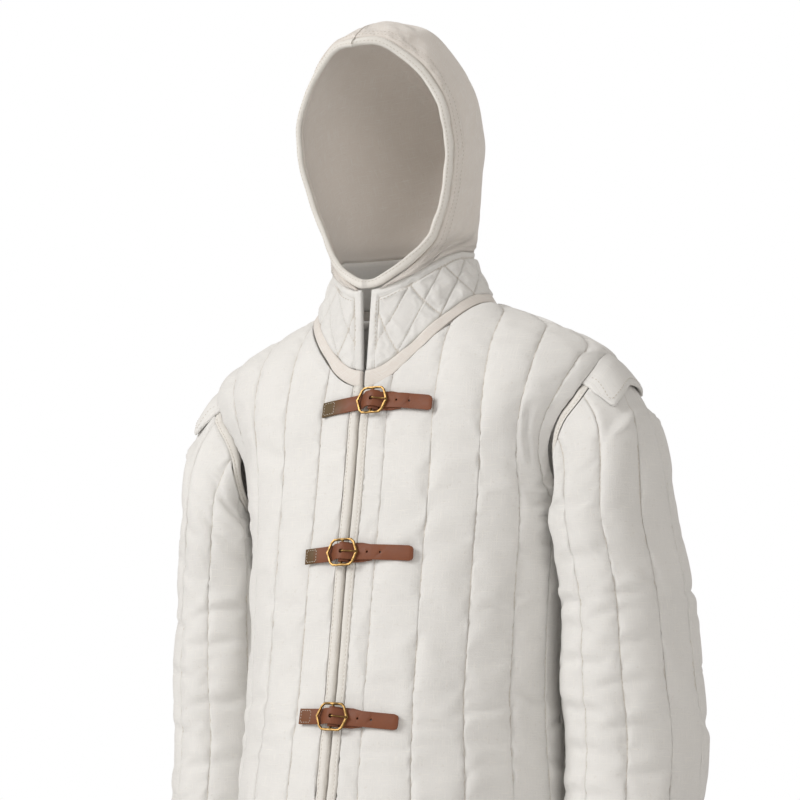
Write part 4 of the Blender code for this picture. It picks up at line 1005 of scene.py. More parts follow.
@dataclass
class SleeveForm:
    """The left sleeve's surface, by the angle round the arm from its top towards the front."""

    gap: float = 0.0012
    armpit_gap: float = 0.0052
    clearance: float = 0.0045
    bound: float = 0.0085
    edge_gap: float = 0.0015
    head_end: float = -0.235
    sink: float = 0.0058

    def __post_init__(self) -> None:
        """Reads the table."""
        self.x, self.y, self.width, self.depth = (Curve(SLEEVE_LEVELS, k) for k in (1, 2, 3, 4))

    @staticmethod
    def armhole(angle: Array) -> Array:
        """Returns the armhole's edge on the body."""
        height = BODY.armhole_middle + BODY.armhole_half * np.cos(angle)
        reach = np.where(np.sin(angle) > 0, *BODY.armhole_reach)
        y = BODY.ridge - reach * np.sin(angle)
        return np.stack((BODY.half_width(height, y), y, height), axis=-1)

    @staticmethod
    def free(angle: Array) -> Array:
        """Returns 0 where the head is sewn to the body and 1 where it hangs open under the arm."""
        return smooth(from_top(angle), 84, 128)

    def outward(self, angle: Array) -> Array:
        """Returns the directions along the cloth that leave the body's edge for the sleeve."""
        place = self.armhole(angle)
        way = unit(np.cross(self.armhole(angle + 0.01) - self.armhole(angle - 0.01), BODY.normal(place)))
        middle = np.stack((place[..., 0], BODY.ridge + 0 * angle, BODY.armhole_middle + 0 * angle), axis=-1)
        return way * np.where(np.sum(way * (middle - place), axis=-1) > 0, 1, -1)[..., None]

    def seam(self, angle: Array) -> Array:
        """Returns the sleeve's upper edge, which leaves the body's edge under the arm."""
        loose = self.free(angle)
        place = self.armhole(angle) + self.outward(angle) * (self.gap * (1 - loose))[..., None]
        place[..., 0] += self.armpit_gap * loose
        return place

    def frame(self, angle: Array) -> tuple[Array, Array, Array]:
        """Returns the upper edge, the directions into its cloth and the directions out of its cloth."""
        angle = np.asarray(angle, float)
        tangent = unit(self.seam(angle + 0.01) - self.seam(angle - 0.01))
        turn = np.cos(angle)
        leave = np.stack((0.45 + 0.30 * turn, -0.35 * np.sin(angle), -0.83 + 0.17 * turn), axis=-1)
        over = unit(leave - tangent * np.sum(leave * tangent, axis=-1, keepdims=True))
        out = unit(np.cross(tangent, over))
        sewn = (0.7 * (1 - self.free(angle)))[..., None]
        return self.seam(angle), over, unit(out * (1 - sewn) + BODY.normal(self.armhole(angle)) * sewn)

    def ring(self, height: Array, angle: Array) -> Array:
        """Returns points below the head, kept clear of the body's side."""
        height, angle = (np.array(a, float) for a in np.broadcast_arrays(height, angle))
        x = self.x(height) + self.width(height) * np.cos(angle)
        y = self.y(height) - self.depth(height) * np.sin(angle)
        clear = BODY.half_width(height, y) + self.clearance
        beside = BODY.nearer_depth(height, y) > abs(y - BODY.ridge)
        kept = clear + np.hypot(np.maximum(x - clear, 0), 0.004) - 0.0005
        x = np.where(beside & (x < clear + 0.012), kept, x)
        return np.stack((x, y, height), axis=-1)

    def head(self, angle: Array, share: Array) -> Array:
        """Returns the head's surface, from its bound edge (share 0) to the end of its curve (share 1)."""
        angle, share = (np.array(a, float) for a in np.broadcast_arrays(angle, share))
        start, over, _ = self.frame(angle)
        start = start + over * (self.bound + self.edge_gap)
        end = self.ring(self.head_end, angle)
        length = np.linalg.norm(end - start, axis=-1, keepdims=True) * 1.10
        outward = (1 + np.cos(angle)) / 2
        drop = -0.76 * outward - (1 - outward)
        leave = unit(np.stack((0.62 * outward, -0.10 * np.sin(angle), drop), axis=-1))
        leave = unit(leave + over * 0.5)
        arrive = unit(np.array((0.10, 0.08, -1.0)))
        t = share[..., None]
        return (
            start * (2 * t**3 - 3 * t**2 + 1)
            + leave * (length * (t**3 - 2 * t**2 + t))
            + end * (3 * t**2 - 2 * t**3)
            + arrive * (length * (t**3 - t**2))
        )

    def head_out(self, angle: Array, share: Array) -> Array:
        """Returns the directions out of the head, which follow its bound edge beside it."""
        near = np.maximum(share, 0.02)
        along = self.head(angle + 0.02, near) - self.head(angle - 0.02, near)
        down = self.head(angle, near + 0.01) - self.head(angle, near - 0.01)
        own = unit(np.cross(along, down))
        away = np.linalg.norm(self.head(angle, share) - self.head(angle, 0.0 * share), axis=-1)
        blend = (1 - smooth(away, 0.0, 0.026))[..., None]
        return unit(own * (1 - blend) + self.frame(angle)[2] * blend)

    def ring_out(self, height: Array, angle: Array) -> Array:
        """Returns the directions out of the sleeve below its head."""
        along = self.ring(height, angle + 0.02) - self.ring(height, angle - 0.02)
        down = self.ring(height - 0.002, angle) - self.ring(height + 0.002, angle)
        return unit(np.cross(along, down))

    def place(self, angle: Array, reach: Array) -> Array:
        """Returns places of the head by their distance from the upper edge."""
        angle, reach = (np.array(a, float) for a in np.broadcast_arrays(angle, reach))
        start, over, _ = self.frame(angle)
        beyond = reach - self.bound - self.edge_gap
        first = self.head(angle, 0 * angle)

        def short(share: Array) -> Array:
            """Returns whether shares of the head are still nearer than asked."""
            return np.linalg.norm(self.head(angle, share) - first, axis=-1) < beyond

        share = bisect(np.zeros_like(angle), np.ones_like(angle), short, 26)
        strip = start + over * reach[..., None]
        return np.where((beyond < 0)[..., None], strip, self.head(angle, share))

    def sunk(self, angle: Array, reach: Array) -> Array:
        """Returns how far the head is pressed down under the shoulder tongue."""
        return self.sink * (1 - smooth(from_top(angle), 50, 66)) * (1 - smooth(reach, 0.054, 0.070))


@dataclass
class Sleeve:
    """One sleeve, its bound upper edge and the shoulder tongue that is sewn down over its head."""

    side: str
    form: SleeveForm
    channels: int = 10
    first_line: float = 30.0
    head_rows: int = 46
    lower_rows: int = 88
    cuff_line: float = 0.012
    seed: int = 21
    tongue_thickness: float = 0.0046
    covered: float = 62.0
    tongue_spread: float = 50.0
    front_spread: float = 58.0
    tongue_reach: float = 0.040
    tongue_corner: float = 0.008
    tongue_top: float = 0.0008
    tongue_root: float = 0.0010

    def build(self, cloth: "Finish", binding: "Finish", thread: "Finish") -> None:
        """Builds and dresses the sleeve.

        Args:
            cloth: the quilted cotton.
            binding: the bound edge's cotton.
            thread: the sewing thread.
        """
        sewing = self.tube(cloth) + self.bound_edge(binding) + self.tongue(cloth)
        Thread().stitches(f"sleeve_stitching_{self.side}", sewing, thread)

    def sided(self, layer: Layer) -> Layer:
        """Returns a layer on this sleeve's side."""
        return layer.mirrored() if self.side == "right" else layer

    def tube(self, cloth: "Finish") -> list:
        """Builds the quilted sleeve and returns its lines of stitching."""
        edges = np.radians(self.first_line + 360 * np.arange(self.channels + 1) / self.channels)
        angle, full, on_line = (part[:-1] for part in channel_columns(edges, (1.0,) * len(edges)))
        form = self.form
        share = np.linspace(0, 1, self.head_rows + 1)[:-1, None] + 0 * angle
        cuff = SLEEVE_LEVELS[0][0]
        height = np.linspace(form.head_end, cuff, self.lower_rows + 1)[:, None] + 0 * angle
        around, below = angle + 0 * share, angle + 0 * height
        points = np.concatenate((form.head(around, share), form.ring(height, below)))
        normals = np.concatenate((form.head_out(around, share), form.ring_out(height, below)))
        normals[1:-1] = unit(normals[:-2] + 2 * normals[1:-1] + normals[2:])
        u = 0.075 * angle + 0 * points[..., 0]
        v = -travelled(points)
        v = v - v[self.head_rows] + form.head_end
        held = np.tile(on_line, (len(v), 1))
        held[0] = held[-1] = True
        full = np.tile(full, (len(v), 1))
        full = full * (1 - 0.45 * peak(v - v[-1], FOLD_SIZE, self.cuff_line))
        reach = np.linalg.norm(points - form.seam(angle), axis=-1)
        sunk = form.sunk(angle, reach)
        layer = self.sided(Layer(points, normals, u, v, full, held, closed=True))
        held |= sunk > 0.0004
        outer = layer.raised(QUILT_DEPTH, CREASES[f"sleeve_{self.side}"], self.seed)
        outer = outer - layer.normals * np.maximum(0, sunk - QUILT_DEPTH * (1 - full))[..., None]
        outer = Settling().settle(f"sleeve_{self.side}", layer, outer)
        outer, inner = turned_in(outer, layer.moved(-PADDING - 0.5 * sunk), v - v[-1], layer.normals)
        piece = ClothPiece(f"sleeve_{self.side}", outer, inner, layer).dressed(cloth)
        found = []
        for column in np.flatnonzero(on_line):
            found.append(piece.line(slice(1 + int(np.argmax(sunk[:, column] < 0.0006)), -2), column))
        ring = np.arange(len(angle) + 1) % len(angle)
        return [*found, piece.line(nearest(v[:, 0] - v[-1, 0], self.cuff_line), ring)]

    def bound_edge(self, binding: "Finish") -> list:
        """Builds the bound upper edge and returns its line of stitching."""
        form = self.form
        angle = np.linspace(0, 2 * math.pi, 200, endpoint=False)
        share = np.linspace(0, 1, 10)[:, None]
        start, over, out = form.frame(angle)
        points = start + over * (form.bound * share[..., None])
        reach = form.bound * share + 0 * angle
        sunk = form.sunk(angle, reach)
        line = peak(share, 0.12, 0.62)
        # full dips along the stitching line, where the binding's finish paints shade
        full, u = 1 - 0.8 * line + 0 * angle, 0.07 * angle + 0 * share
        layer = self.sided(Layer(points, out + 0 * points, u, -reach, full, closed=True))
        roll = 0.0016 * np.abs(2 * share - 1) ** 3 + 0.0009 * line
        wave = 0.00035 * ripple(u, 0 * reach, 0.020, self.seed + 3)
        outer = layer.moved(0.0004 - roll - wave - sunk * 1.07)
        inner = layer.moved(0.5 * (roll - sunk) - PADDING)
        piece = ClothPiece(f"sleeve_edge_{self.side}", outer, inner, layer).dressed(binding)
        ring = np.arange(len(angle) + 1) % len(angle)
        return [piece.line(6, ring[from_top(angle[ring]) > self.covered])]

    def tongue(self, cloth: "Finish") -> list:
        """Builds the shoulder tongue and returns the stitching round it."""
        form = self.form
        across, rows = 61, 27
        off = np.linspace(-1, 1, across)
        angle = np.radians(np.where(off > 0, self.front_spread, self.tongue_spread) * off)
        corner = np.where(off > 0, self.tongue_corner, -self.tongue_corner * 1.7)
        reach = (self.tongue_reach + corner * off**2) * (1 - smooth(abs(off), 0.80, 1.05) * 0.75)
        share = np.linspace(0, 1, rows)[:, None]
        points = form.place(angle + 0 * share, reach * share - self.tongue_root * (1 - share))
        normals = grid_normals(points)
        body = BODY.normal(form.armhole(angle))
        normals = unit(normals * share[..., None] + body * (1 - share[..., None]))
        inset = np.minimum((1 - np.abs(off)) * 0.060, (1 - share) * reach)
        line = peak(inset, 0.0011, 0.0042)
        edge = peak(inset, 0.0016)
        layer = self.sided(Layer(points, normals, 0.06 * off + 0 * share, -reach * share, 1 - 0.8 * line))
        outer = layer.moved(self.tongue_top - 0.0010 * line - 0.0022 * edge)
        inner = layer.moved(self.tongue_top - self.tongue_thickness + 0.0010 * edge)
        piece = ClothPiece(f"shoulder_tongue_{self.side}", outer, inner, layer).dressed(cloth)
        path = [(i, 4) for i in range(2, rows - 5)] + [(rows - 5, j) for j in range(4, across - 4)]
        path += [(i, across - 5) for i in range(rows - 5, 1, -1)]
        return [piece.line(*np.array(path).T)]


# ---- collar ----


@dataclass
class Collar:
    """The standing collar, quilted in diamonds, and the plain band that joins it to the body."""

    thickness: float = 0.0085
    neck: tuple = (0.1025, -0.0940, 0.0790)
    top: tuple = (0.0735, -0.0850, 0.0630)
    gaps_left: tuple = (0.0006, 0.0036)
    gaps_right: tuple = (0.0034, 0.0100)
    band: float = 0.165
    diamond: float = 0.0415
    half_round: float = 0.2580
    height: float = 0.072
    relief: float = 0.0036
    border: float = 0.0095

    @staticmethod
    def oval(angle: Array, sizes: tuple) -> tuple[Array, Array]:
        """Returns places on an upright oval, by the angle from its front towards positive x."""
        half, front, back = sizes
        return half * np.sin(angle), (front + back) / 2 - (back - front) / 2 * np.cos(angle)

    @staticmethod
    def top_height(angle: Array) -> Array:
        """Returns the height of the collar's top edge."""
        turn = np.cos(angle)
        return 0.058 - 0.012 * turn - 0.036 * np.maximum(turn, 0) ** 2

    def point(self, angle: Array, share: Array) -> Array:
        """Returns the collar's outer surface, by the angle round the neck and the share of its height."""
        low = (self.neck[0] - 0.001, self.neck[1] + 0.001, self.neck[2] - 0.001)
        (x0, y0), (x1, y1) = self.oval(angle, low), self.oval(angle, self.top)
        top = self.top_height(angle)
        base = BODY.over(*self.oval(angle, self.neck)) + 0.0014
        lean = np.maximum(share, 0) ** 0.85
        return np.stack((x0 + (x1 - x0) * lean, y0 + (y1 - y0) * lean, base + (top - base) * share), axis=-1)

    def angles(self, share: Array, columns: int) -> Array:
        """Returns the angles of the columns, which start beside the front gap at each height."""
        reach = self.neck[0] + (self.top[0] - self.neck[0]) * share
        start, end = (
            np.arcsin((low + (high - low) * share) / reach) for low, high in (self.gaps_left, self.gaps_right)
        )
        return start + (2 * math.pi - start - end) * np.linspace(0, 1, columns)

    def layer(self, low: float, high: float, rows: int, columns: int) -> Layer:
        """Returns a stretch of the collar between two shares of its height."""
        share = np.linspace(low, high, rows)[:, None]
        points = self.point(self.angles(share, columns), share + np.zeros(columns))
        across = travelled(points, 1)
        u = across - across[:, -1:] / 2
        return Layer(points, grid_normals(points), u, travelled(points), np.ones_like(u))

    def build(self, cloth: "Finish", band_cloth: "Finish", thread: "Finish") -> None:
        """Builds and dresses the collar and its band.

        Args:
            cloth: the quilted cotton.
            band_cloth: the plain band's cotton.
            thread: the sewing thread.
        """
        layer = self.layer(self.band, 1.0, 44, 330)
        half = np.abs(layer.u[:, -1:])
        top = layer.v[-1:]
        inset = np.minimum(half - np.abs(layer.u), top - layer.v)
        a, b, off = self.diamonds(layer.u.shape)
        pad = 1 - 0.5 * peak(off, 0.0011) - 0.5 * np.exp(-((off / 0.0055) ** 1.3))
        inside = smooth(inset, self.border - 0.001, self.border + 0.001)
        seam = peak(inset, 0.0014, self.border)
        rim = peak(np.minimum(inset, layer.v + 0.001), 0.0022)
        full = np.clip(1 - inside * (1 - pad) - 0.9 * seam, 0, 1)
        layer.full = full
        layer.held = (full < 0.12) | (rim > 0.5)
        lift = -self.relief * (1 - full) - 0.0012 * (1 - inside) - 0.0016 * rim
        lift = lift + 0.0007 * ripple(layer.u, layer.v, 0.045, 31) * pad * inside
        for crease in CREASES["collar"]:
            lift = lift + crease.lift(layer.u, layer.v)
        setting = Settling(grow=0.03, press=0.3, cap=0.0013, steps=14)
        outer = setting.settle("collar", layer, layer.moved(lift))
        piece = ClothPiece("collar", outer, layer.moved(0.0014 * rim - self.thickness), layer).dressed(cloth)
        Thread().stitches("collar_stitching", self.lines(piece, inset, a, b), thread)
        self.build_band(band_cloth)

    def diamonds(self, shape: tuple) -> tuple[Array, Array, Array]:
        """Lays the diagonal stitching from the front edges round to the middle of the back.

        Args:
            shape: how many rows and columns the collar has.

        Returns:
            Places along both families of diagonals, whole on their lines, and the distance to the nearest.
        """
        rows, columns = shape
        away = self.half_round * (1 - np.abs(2 * np.linspace(0, 1, columns) - 1))
        up = self.height * np.linspace(0, 1, rows)[:, None]
        even = smooth(away, 0.09, 0.21)
        falling, rising = 0.42 + 0.28 * even, 0.98 - 0.28 * even
        a = (away + falling * up) / self.diamond - 0.76
        b = (away - rising * up) / self.diamond - 0.675
        first = np.abs(a - np.round(a)) / np.hypot(1, falling)
        second = np.abs(b - np.round(b)) / np.hypot(1, rising)
        return a, b, np.minimum(first, second) * self.diamond

    def lines(self, piece: ClothPiece, inset: Array, a: Array, b: Array) -> list:
        """Returns the diagonal stitching and the line inside the border.

        Args:
            piece: the finished collar.
            inset: how far each point is inside the collar's front and top edges.
            a: places along one family of diagonals, whole on its lines.
            b: places along the other.

        Returns:
            The lines.
        """
        found = []
        rows, columns = a.shape
        middle = columns // 2
        for family in (a, b):
            numbers = range(math.ceil(family.min()), math.floor(family.max()) + 1)
            for number, half in ((number, half) for number in numbers for half in (1, -1)):
                trail = []
                for row in range(rows):
                    values = family[row, :middle]
                    if not values[0] <= number <= values[-1]:
                        continue
                    place = float(np.interp(number, values, np.arange(middle)))
                    place = place if half > 0 else columns - 1 - place
                    column = min(int(place), columns - 2)
                    if inset[row, column] > self.border:
                        trail.append((piece.between(row, place), piece.layer.normals[row, column]))
                if len(trail) > 3:
                    found.append(tuple(np.array(trail).swapaxes(0, 1)))
        top_row = nearest(inset[:, columns // 2], self.border)
        first = nearest(inset[3, : columns // 4], self.border)
        path = [(row, first) for row in range(1, top_row)]
        path += [(top_row, column) for column in range(first, columns - first)]
        path += [(row, columns - 1 - first) for row in range(top_row - 1, 0, -1)]
        return [*found, piece.line(*np.array(path).T)]

    def build_band(self, cloth: "Finish") -> None:
        """Builds the plain band, which rolls over its seams."""
        layer = self.layer(-0.012, self.band - 0.006, 14, 300)
        share = np.linspace(0, 1, 14)[:, None] + 0 * layer.u
        roll = 0.0008 + 0.0010 * np.abs(2 * share - 1) ** 3
        outer = layer.moved(0.0007 * ripple(layer.u, layer.v, 0.040, 33, 0.5) - roll)
        ClothPiece("collar_band", outer, layer.moved(0.0008 - self.thickness), layer).dressed(cloth)


# ---- hood ----

# Rows of the hood from the collar to the crown: share, y and z of the front, y and z of the back, y of the
# widest place and half width there
HOOD_ROWS = (
    (0.00, -0.0850, 0.0100, 0.0630, 0.0700, -0.0110, 0.0735),
    (0.08, -0.0885, 0.0310, 0.0725, 0.0905, -0.016, 0.0765),
    (0.20, -0.0925, 0.0650, 0.0860, 0.1220, -0.022, 0.0805),
    (0.35, -0.0980, 0.1080, 0.0900, 0.1590, -0.034, 0.0900),
    (0.50, -0.1060, 0.1500, 0.0910, 0.1900, -0.046, 0.0970),
    (0.62, -0.1120, 0.1810, 0.0880, 0.2120, -0.052, 0.0960),
    (0.75, -0.1170, 0.2110, 0.0790, 0.2340, -0.054, 0.0820),
    (0.86, -0.1190, 0.2350, 0.0650, 0.2500, -0.052, 0.0600),
    (0.94, -0.1200, 0.2500, 0.0460, 0.2620, -0.048, 0.0375),
    (1.00, -0.1190, 0.2570, 0.0240, 0.2700, -0.045, 0.0000),
)

# The edge of the face opening, from the throat to the crown: station, row of the hood and y
HOOD_OPENING = (
    (0.0, 0.040, -0.0868),
    (1.0, 0.056, -0.0850),
    (2.0, 0.080, -0.0785),
    (3.0, 0.108, -0.0705),
    (4.0, 0.150, -0.0655),
    (5.0, 0.222, -0.0655),
    (6.5, 0.350, -0.0700),
    (8.0, 0.500, -0.0790),
    (9.2, 0.620, -0.0865),
    (10.5, 0.750, -0.0945),
    (11.8, 0.860, -0.1045),
    (13.0, 0.940, -0.1125),
    (14.2, 1.000, -0.1190),
)


@dataclass
class Hood:
    """The hood's two halves, joined over the crown, and the bound edge round the face."""

    thickness: float = 0.0070
    front_roundness: float = 2.6
    back_roundness: float = 1.65
    bound: float = 0.0100
    edge_gap: float = 0.0015
    arch: float = 0.036
    rows: int = 110
    columns: int = 64
    topstitch: tuple = (0.0040, 0.0110)
    edge_line: float = 2.05

    def __post_init__(self) -> None:
        """Reads the tables."""
        self.curves = [Curve(HOOD_ROWS, k) for k in range(1, 7)]
        self.opening_row, self.opening_y = Curve(HOOD_OPENING, 1), Curve(HOOD_OPENING, 2)
        self.last = HOOD_OPENING[-1][0]

    def point(self, share: Array, angle: Array) -> Array:
        """Returns the left half's surface, by its row and the angle from the row's front to its back."""
        share, angle = (np.array(a, float) for a in np.broadcast_arrays(share, angle))
        front_y, front_z, back_y, back_z, widest, half = (curve(share) for curve in self.curves)
        shaped = smooth(share, 0.0, 0.35)
        is_front = angle < math.pi / 2
        roundness = 2 + shaped * (np.where(is_front, self.front_roundness, self.back_roundness) - 2)
        reach = np.abs(np.cos(angle)) ** (2 / roundness)
        across = np.maximum(np.sin(angle), 0) ** (2 / roundness)
        y = np.where(is_front, widest - (widest - front_y) * reach, widest + (back_y - widest) * reach)
        rise = (y - front_y) / (back_y - front_y)
        z = front_z + (back_z - front_z) * rise
        front, back = Collar.top_height(0.0), Collar.top_height(math.pi)
        swell = Collar.top_height(angle) - front - (back - front) * (1 - np.cos(angle)) / 2
        z = z + swell * (1 - smooth(share, 0.0, 0.30))
        z = z + self.arch * smooth(share, 0.55, 1.0) * np.maximum(4 * rise * (1 - rise), 0) ** 0.70
        return np.stack((half * across + SEAM, y, z), axis=-1)

    def opening_angle(self, station: Array) -> Array:
        """Returns the angle on its row at which the face opening's edge lies."""
        share = self.opening_row(station)
        roundness = 2 + smooth(share, 0.0, 0.35) * (self.front_roundness - 2)
        front_y, widest = self.curves[0](share), self.curves[4](share)
        reach = (widest - self.opening_y(station)) / (widest - front_y)
        return np.arccos(np.clip(reach, 0, 1) ** (roundness / 2))

    def opening(self, station: Array) -> Array:
        """Returns points of the face opening's edge."""
        return self.point(self.opening_row(station), self.opening_angle(station))

    def out(self, share: Array, angle: Array) -> Array:
        """Returns the directions out of the left half."""
        share, angle = np.clip(share, 0.006, 0.994), np.clip(angle, 0.01, math.pi - 0.02)
        along = self.point(share, angle + 0.008) - self.point(share, angle - 0.008)
        up = self.point(share + 0.005, angle) - self.point(share - 0.005, angle)
        return unit(np.cross(along, up))

    def starts(self, shares: Array, away: float, path: Array) -> Array:
        """Returns the angle at which each row comes within a distance of the face opening's edge."""
        angles = np.linspace(math.pi * 0.55, 0, 560)
        found = []
        for share in shares:
            row = self.point(share, angles)
            near = np.min(np.linalg.norm(row[:, None] - path[None], axis=2), axis=1) < away
            found.append(angles[int(np.argmax(near))] if near.any() else 0.0)
        return np.array(found)

    def layer(self) -> Layer:
        """Returns the left half's surface from the bound edge to the seam at the back."""
        path = self.opening(np.linspace(0, self.last, 700))
        shares = np.sin(math.pi / 2 * np.linspace(0, 1, self.rows + 1) ** 1.25)
        start = self.starts(shares, self.bound + self.edge_gap, path)
        start[1:-1] = (start[:-2] + 2 * start[1:-1] + start[2:]) / 4
        step = np.linspace(0, 1, self.columns + 1)
        angle = start[:, None] + (math.pi - start[:, None]) * step
        share = shares[:, None] + 0 * angle
        points = self.point(share, angle)
        points[0, :, 2] -= 0.0020
        normals = self.out(share, angle)
        for _ in range(2):
            normals[1:-1] = unit(normals[:-2] + 2 * normals[1:-1] + normals[2:])
        normals[-1, :, 0] = normals[:, -1, 0] = 0
        normals = unit(normals)
        inset = np.min(np.linalg.norm(points[:, :, None] - path[None, None, ::5], axis=3), axis=2)
        inset = inset - self.bound - self.edge_gap
        across, up = travelled(points, 1), travelled(points)
        seams = np.minimum(np.minimum(inset, points[..., 0] + 0.0005), 0.05)
        line = peak(inset, 0.0012, self.topstitch[1])
        close = peak(np.maximum(seams, 0), 0.0022)
        full = np.clip(1 - 0.7 * line - 0.8 * close, 0, 1)
        self.inset = inset
        return Layer(points, normals, across, up, full, (line > 0.6) | (close > 0.5))

    def build(self, cloth: "Finish", binding: "Finish", thread: "Finish") -> None:
        """Builds and dresses the hood.

        Args:
            cloth: the brushed cotton.
            binding: the bound edge's cotton.
            thread: the sewing thread.
        """
        left = self.layer()
        sewing = []
        for side, layer, seed in (("left", left, 41), ("right", left.mirrored(), 43)):
            lift = -0.0016 * (1 - layer.full) + 0.0010 * ripple(layer.u, layer.v, 0.075, seed) * layer.full
            for crease in CREASES[f"hood_{side}"]:
                lift = lift + crease.lift(layer.u, layer.v)
            setting = Settling(grow=0.02, press=0.3, cap=0.0025, bending=1.2, steps=14)
            outer = setting.settle(f"hood_{side}", layer, layer.moved(lift))
            inner = layer.moved(-self.thickness)
            sign = 1 if side == "left" else -1
            for grid in (outer, inner):
                grid[..., 0] = sign * np.maximum(sign * grid[..., 0], SEAM)
            piece = ClothPiece(f"hood_{side}", outer, inner, layer).dressed(cloth)
            sewing += self.lines(piece)
        sewing += self.bound_edge(binding)
        Thread().stitches("hood_stitching", sewing, thread)

    def lines(self, piece: ClothPiece) -> list:
        """Returns the two lines of topstitching beside the bound edge."""
        found = []
        for away in self.topstitch:
            trail = []
            for row in range(2, len(self.inset) - 1):
                values = self.inset[row]
                j = int(np.argmax(values > away))
                if j > 0:
                    place = j - 1 + (away - values[j - 1]) / (values[j] - values[j - 1])
                    trail.append((piece.between(row, place), piece.layer.normals[row, j]))
            found.append(tuple(np.array(trail).swapaxes(0, 1)))
        return found

    def bound_edge(self, binding: "Finish") -> list:
        """Builds the bound edge, a rounded strip round the face and throat, and returns its stitching."""
        station = np.linspace(0, self.last, 190)
        after, before = np.minimum(station + 0.05, self.last), np.maximum(station - 0.05, 0)
        run = self.opening(after) - self.opening(before)
        run[0], run[-1] = (1, 0, 0), (-1, 0, 0)
        out = self.out(self.opening_row(station), self.opening_angle(station))
        out[0, 0] = out[-1, 0] = 0
        out = unit(out)
        for _ in range(6):
            out[1:-1] = unit(out[:-2] + 2 * out[1:-1] + out[2:])
            run[1:-1] = unit(unit(run[:-2]) + 2 * unit(run[1:-1]) + unit(run[2:]))
        inward = unit(np.cross(run, out))
        centre = self.opening(station) + inward * (self.bound / 2) - out * (self.thickness / 2)
        centre[0, 0] = centre[-1, 0] = 0
        centre, inward, out = (np.concatenate((a, a[-2:0:-1] * MIRROR)) for a in (centre, inward, out))
        turn = np.linspace(0, 2 * math.pi, 22, endpoint=False)
        wide = np.sign(np.cos(turn)) * np.abs(np.cos(turn)) ** 0.75 * (self.bound / 2 - 0.0003)
        deep = np.sign(np.sin(turn)) * np.abs(np.sin(turn)) ** 0.75 * (self.thickness / 2 - 0.0004)
        length = travelled(centre)
        wave = 1 + 0.05 * ripple(0 * length, length, 0.022, 45)[:, None]
        line = peak(turn, 0.16, self.edge_line)
        dent = 1 - 0.16 * line
        points = centre[:, None] + inward[:, None] * (wide * wave)[..., None]
        points = points + out[:, None] * (deep * wave * dent)[..., None]
        rings, around = points.shape[:2]
        faces = grid_faces(rings + 1, around, True) % (rings * around)
        normals = inward[:, None] * np.cos(turn)[:, None] + out[:, None] * np.sin(turn)[:, None]
        centre_face = np.cross(points[1, 0] - points[0, 0], points[0, 1] - points[0, 0])
        if np.dot(centre_face, normals[0, 0]) > 0:
            faces = faces[:, ::-1]
        made = new_object("cloth_hood_edge", points, faces.tolist())
        # full dips along the stitching line, where the binding's finish paints shade
        u, full = np.tile(turn * 0.004, rings), np.tile(1 - 0.8 * line, rings)
        keep_coordinates(made.data, u, np.repeat(length, around), full)
        made.data.materials.append(binding.material())
        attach(made, "root")
        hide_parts("hood_edge")
        LOG.info("hood_edge: a strip %.3f m long", length[-1])
        column = nearest(turn, self.edge_line)
        ring = np.arange(rings + 1) % rings
        return [(points[ring, column], normals[ring, column])]


# ---- finishes ----


class Nodes:
    """Builds one node tree, with short ways to add and join its nodes."""

    def __init__(self, tree: bpy.types.NodeTree) -> None:
        """Keeps the tree."""
        self.tree = tree

    def add(self, kind: str, values: dict | None = None, **settings: object) -> bpy.types.Node:
        """Adds a node.

        Args:
            kind: the node's type.
            values: its input values or the sockets that feed them, by name or number.
            settings: its own settings.

        Returns:
            The node.
        """
        node = self.tree.nodes.new(kind)
        for name, value in settings.items():
            setattr(node, name, value)
        return self.feed(node, values or {})

    def feed(self, node: bpy.types.Node, values: dict) -> bpy.types.Node:
        """Sets a node's inputs, or joins them to the sockets that feed them.

        Args:
            node: the node.
            values: values or sockets, by the input's name or number.

        Returns:
            The node.
        """
        for key, value in values.items():
            if isinstance(value, Socket):
                self.tree.links.new(value, node.inputs[key])
            else:
                node.inputs[key].default_value = value
        return node

    def math(self, operation: str, first: object, second: object = 0.0) -> Socket:
        """Returns the result of a sum on two values or sockets."""
        return self.add("ShaderNodeMath", {0: first, 1: second}, operation=operation).outputs[0]

    def mix(self, share: object, first: object, second: object) -> Socket:
        """Returns a blend of two colours or sockets."""
        first, second = ((*side, 1.0) if isinstance(side, tuple) else side for side in (first, second))
        return self.add("ShaderNodeMix", {0: share, 6: first, 7: second}, data_type="RGBA").outputs[2]

    def ramp(self, value: object, low: float, high: float, start: float, end: float) -> Socket:
        """Returns a socket's value, spread from one range over another and kept inside it."""
        return self.add("ShaderNodeMapRange", {0: value, 1: low, 2: high, 3: start, 4: end}).outputs[0]

    def bump(self, height: object, strength: float, distance: float) -> Socket:
        """Returns directions out of a surface that has small heights."""
        values = {"Height": height, "Strength": strength, "Distance": distance}
        return self.add("ShaderNodeBump", values).outputs[0]

    def noise(self, vector: object, scale: object, detail: float = 3.0, rough: float = 0.5) -> Socket:
        """Returns noise of about 0 to 1."""
        values = {"Vector": vector, "Scale": scale, "Detail": detail, "Roughness": rough}
        return self.add("ShaderNodeTexNoise", values).outputs[0]

    def stretched(self, vector: object, scale: tuple) -> Socket:
        """Returns coordinates scaled by different amounts."""
        return self.add("ShaderNodeMapping", {"Vector": vector, "Scale": scale}).outputs[0]


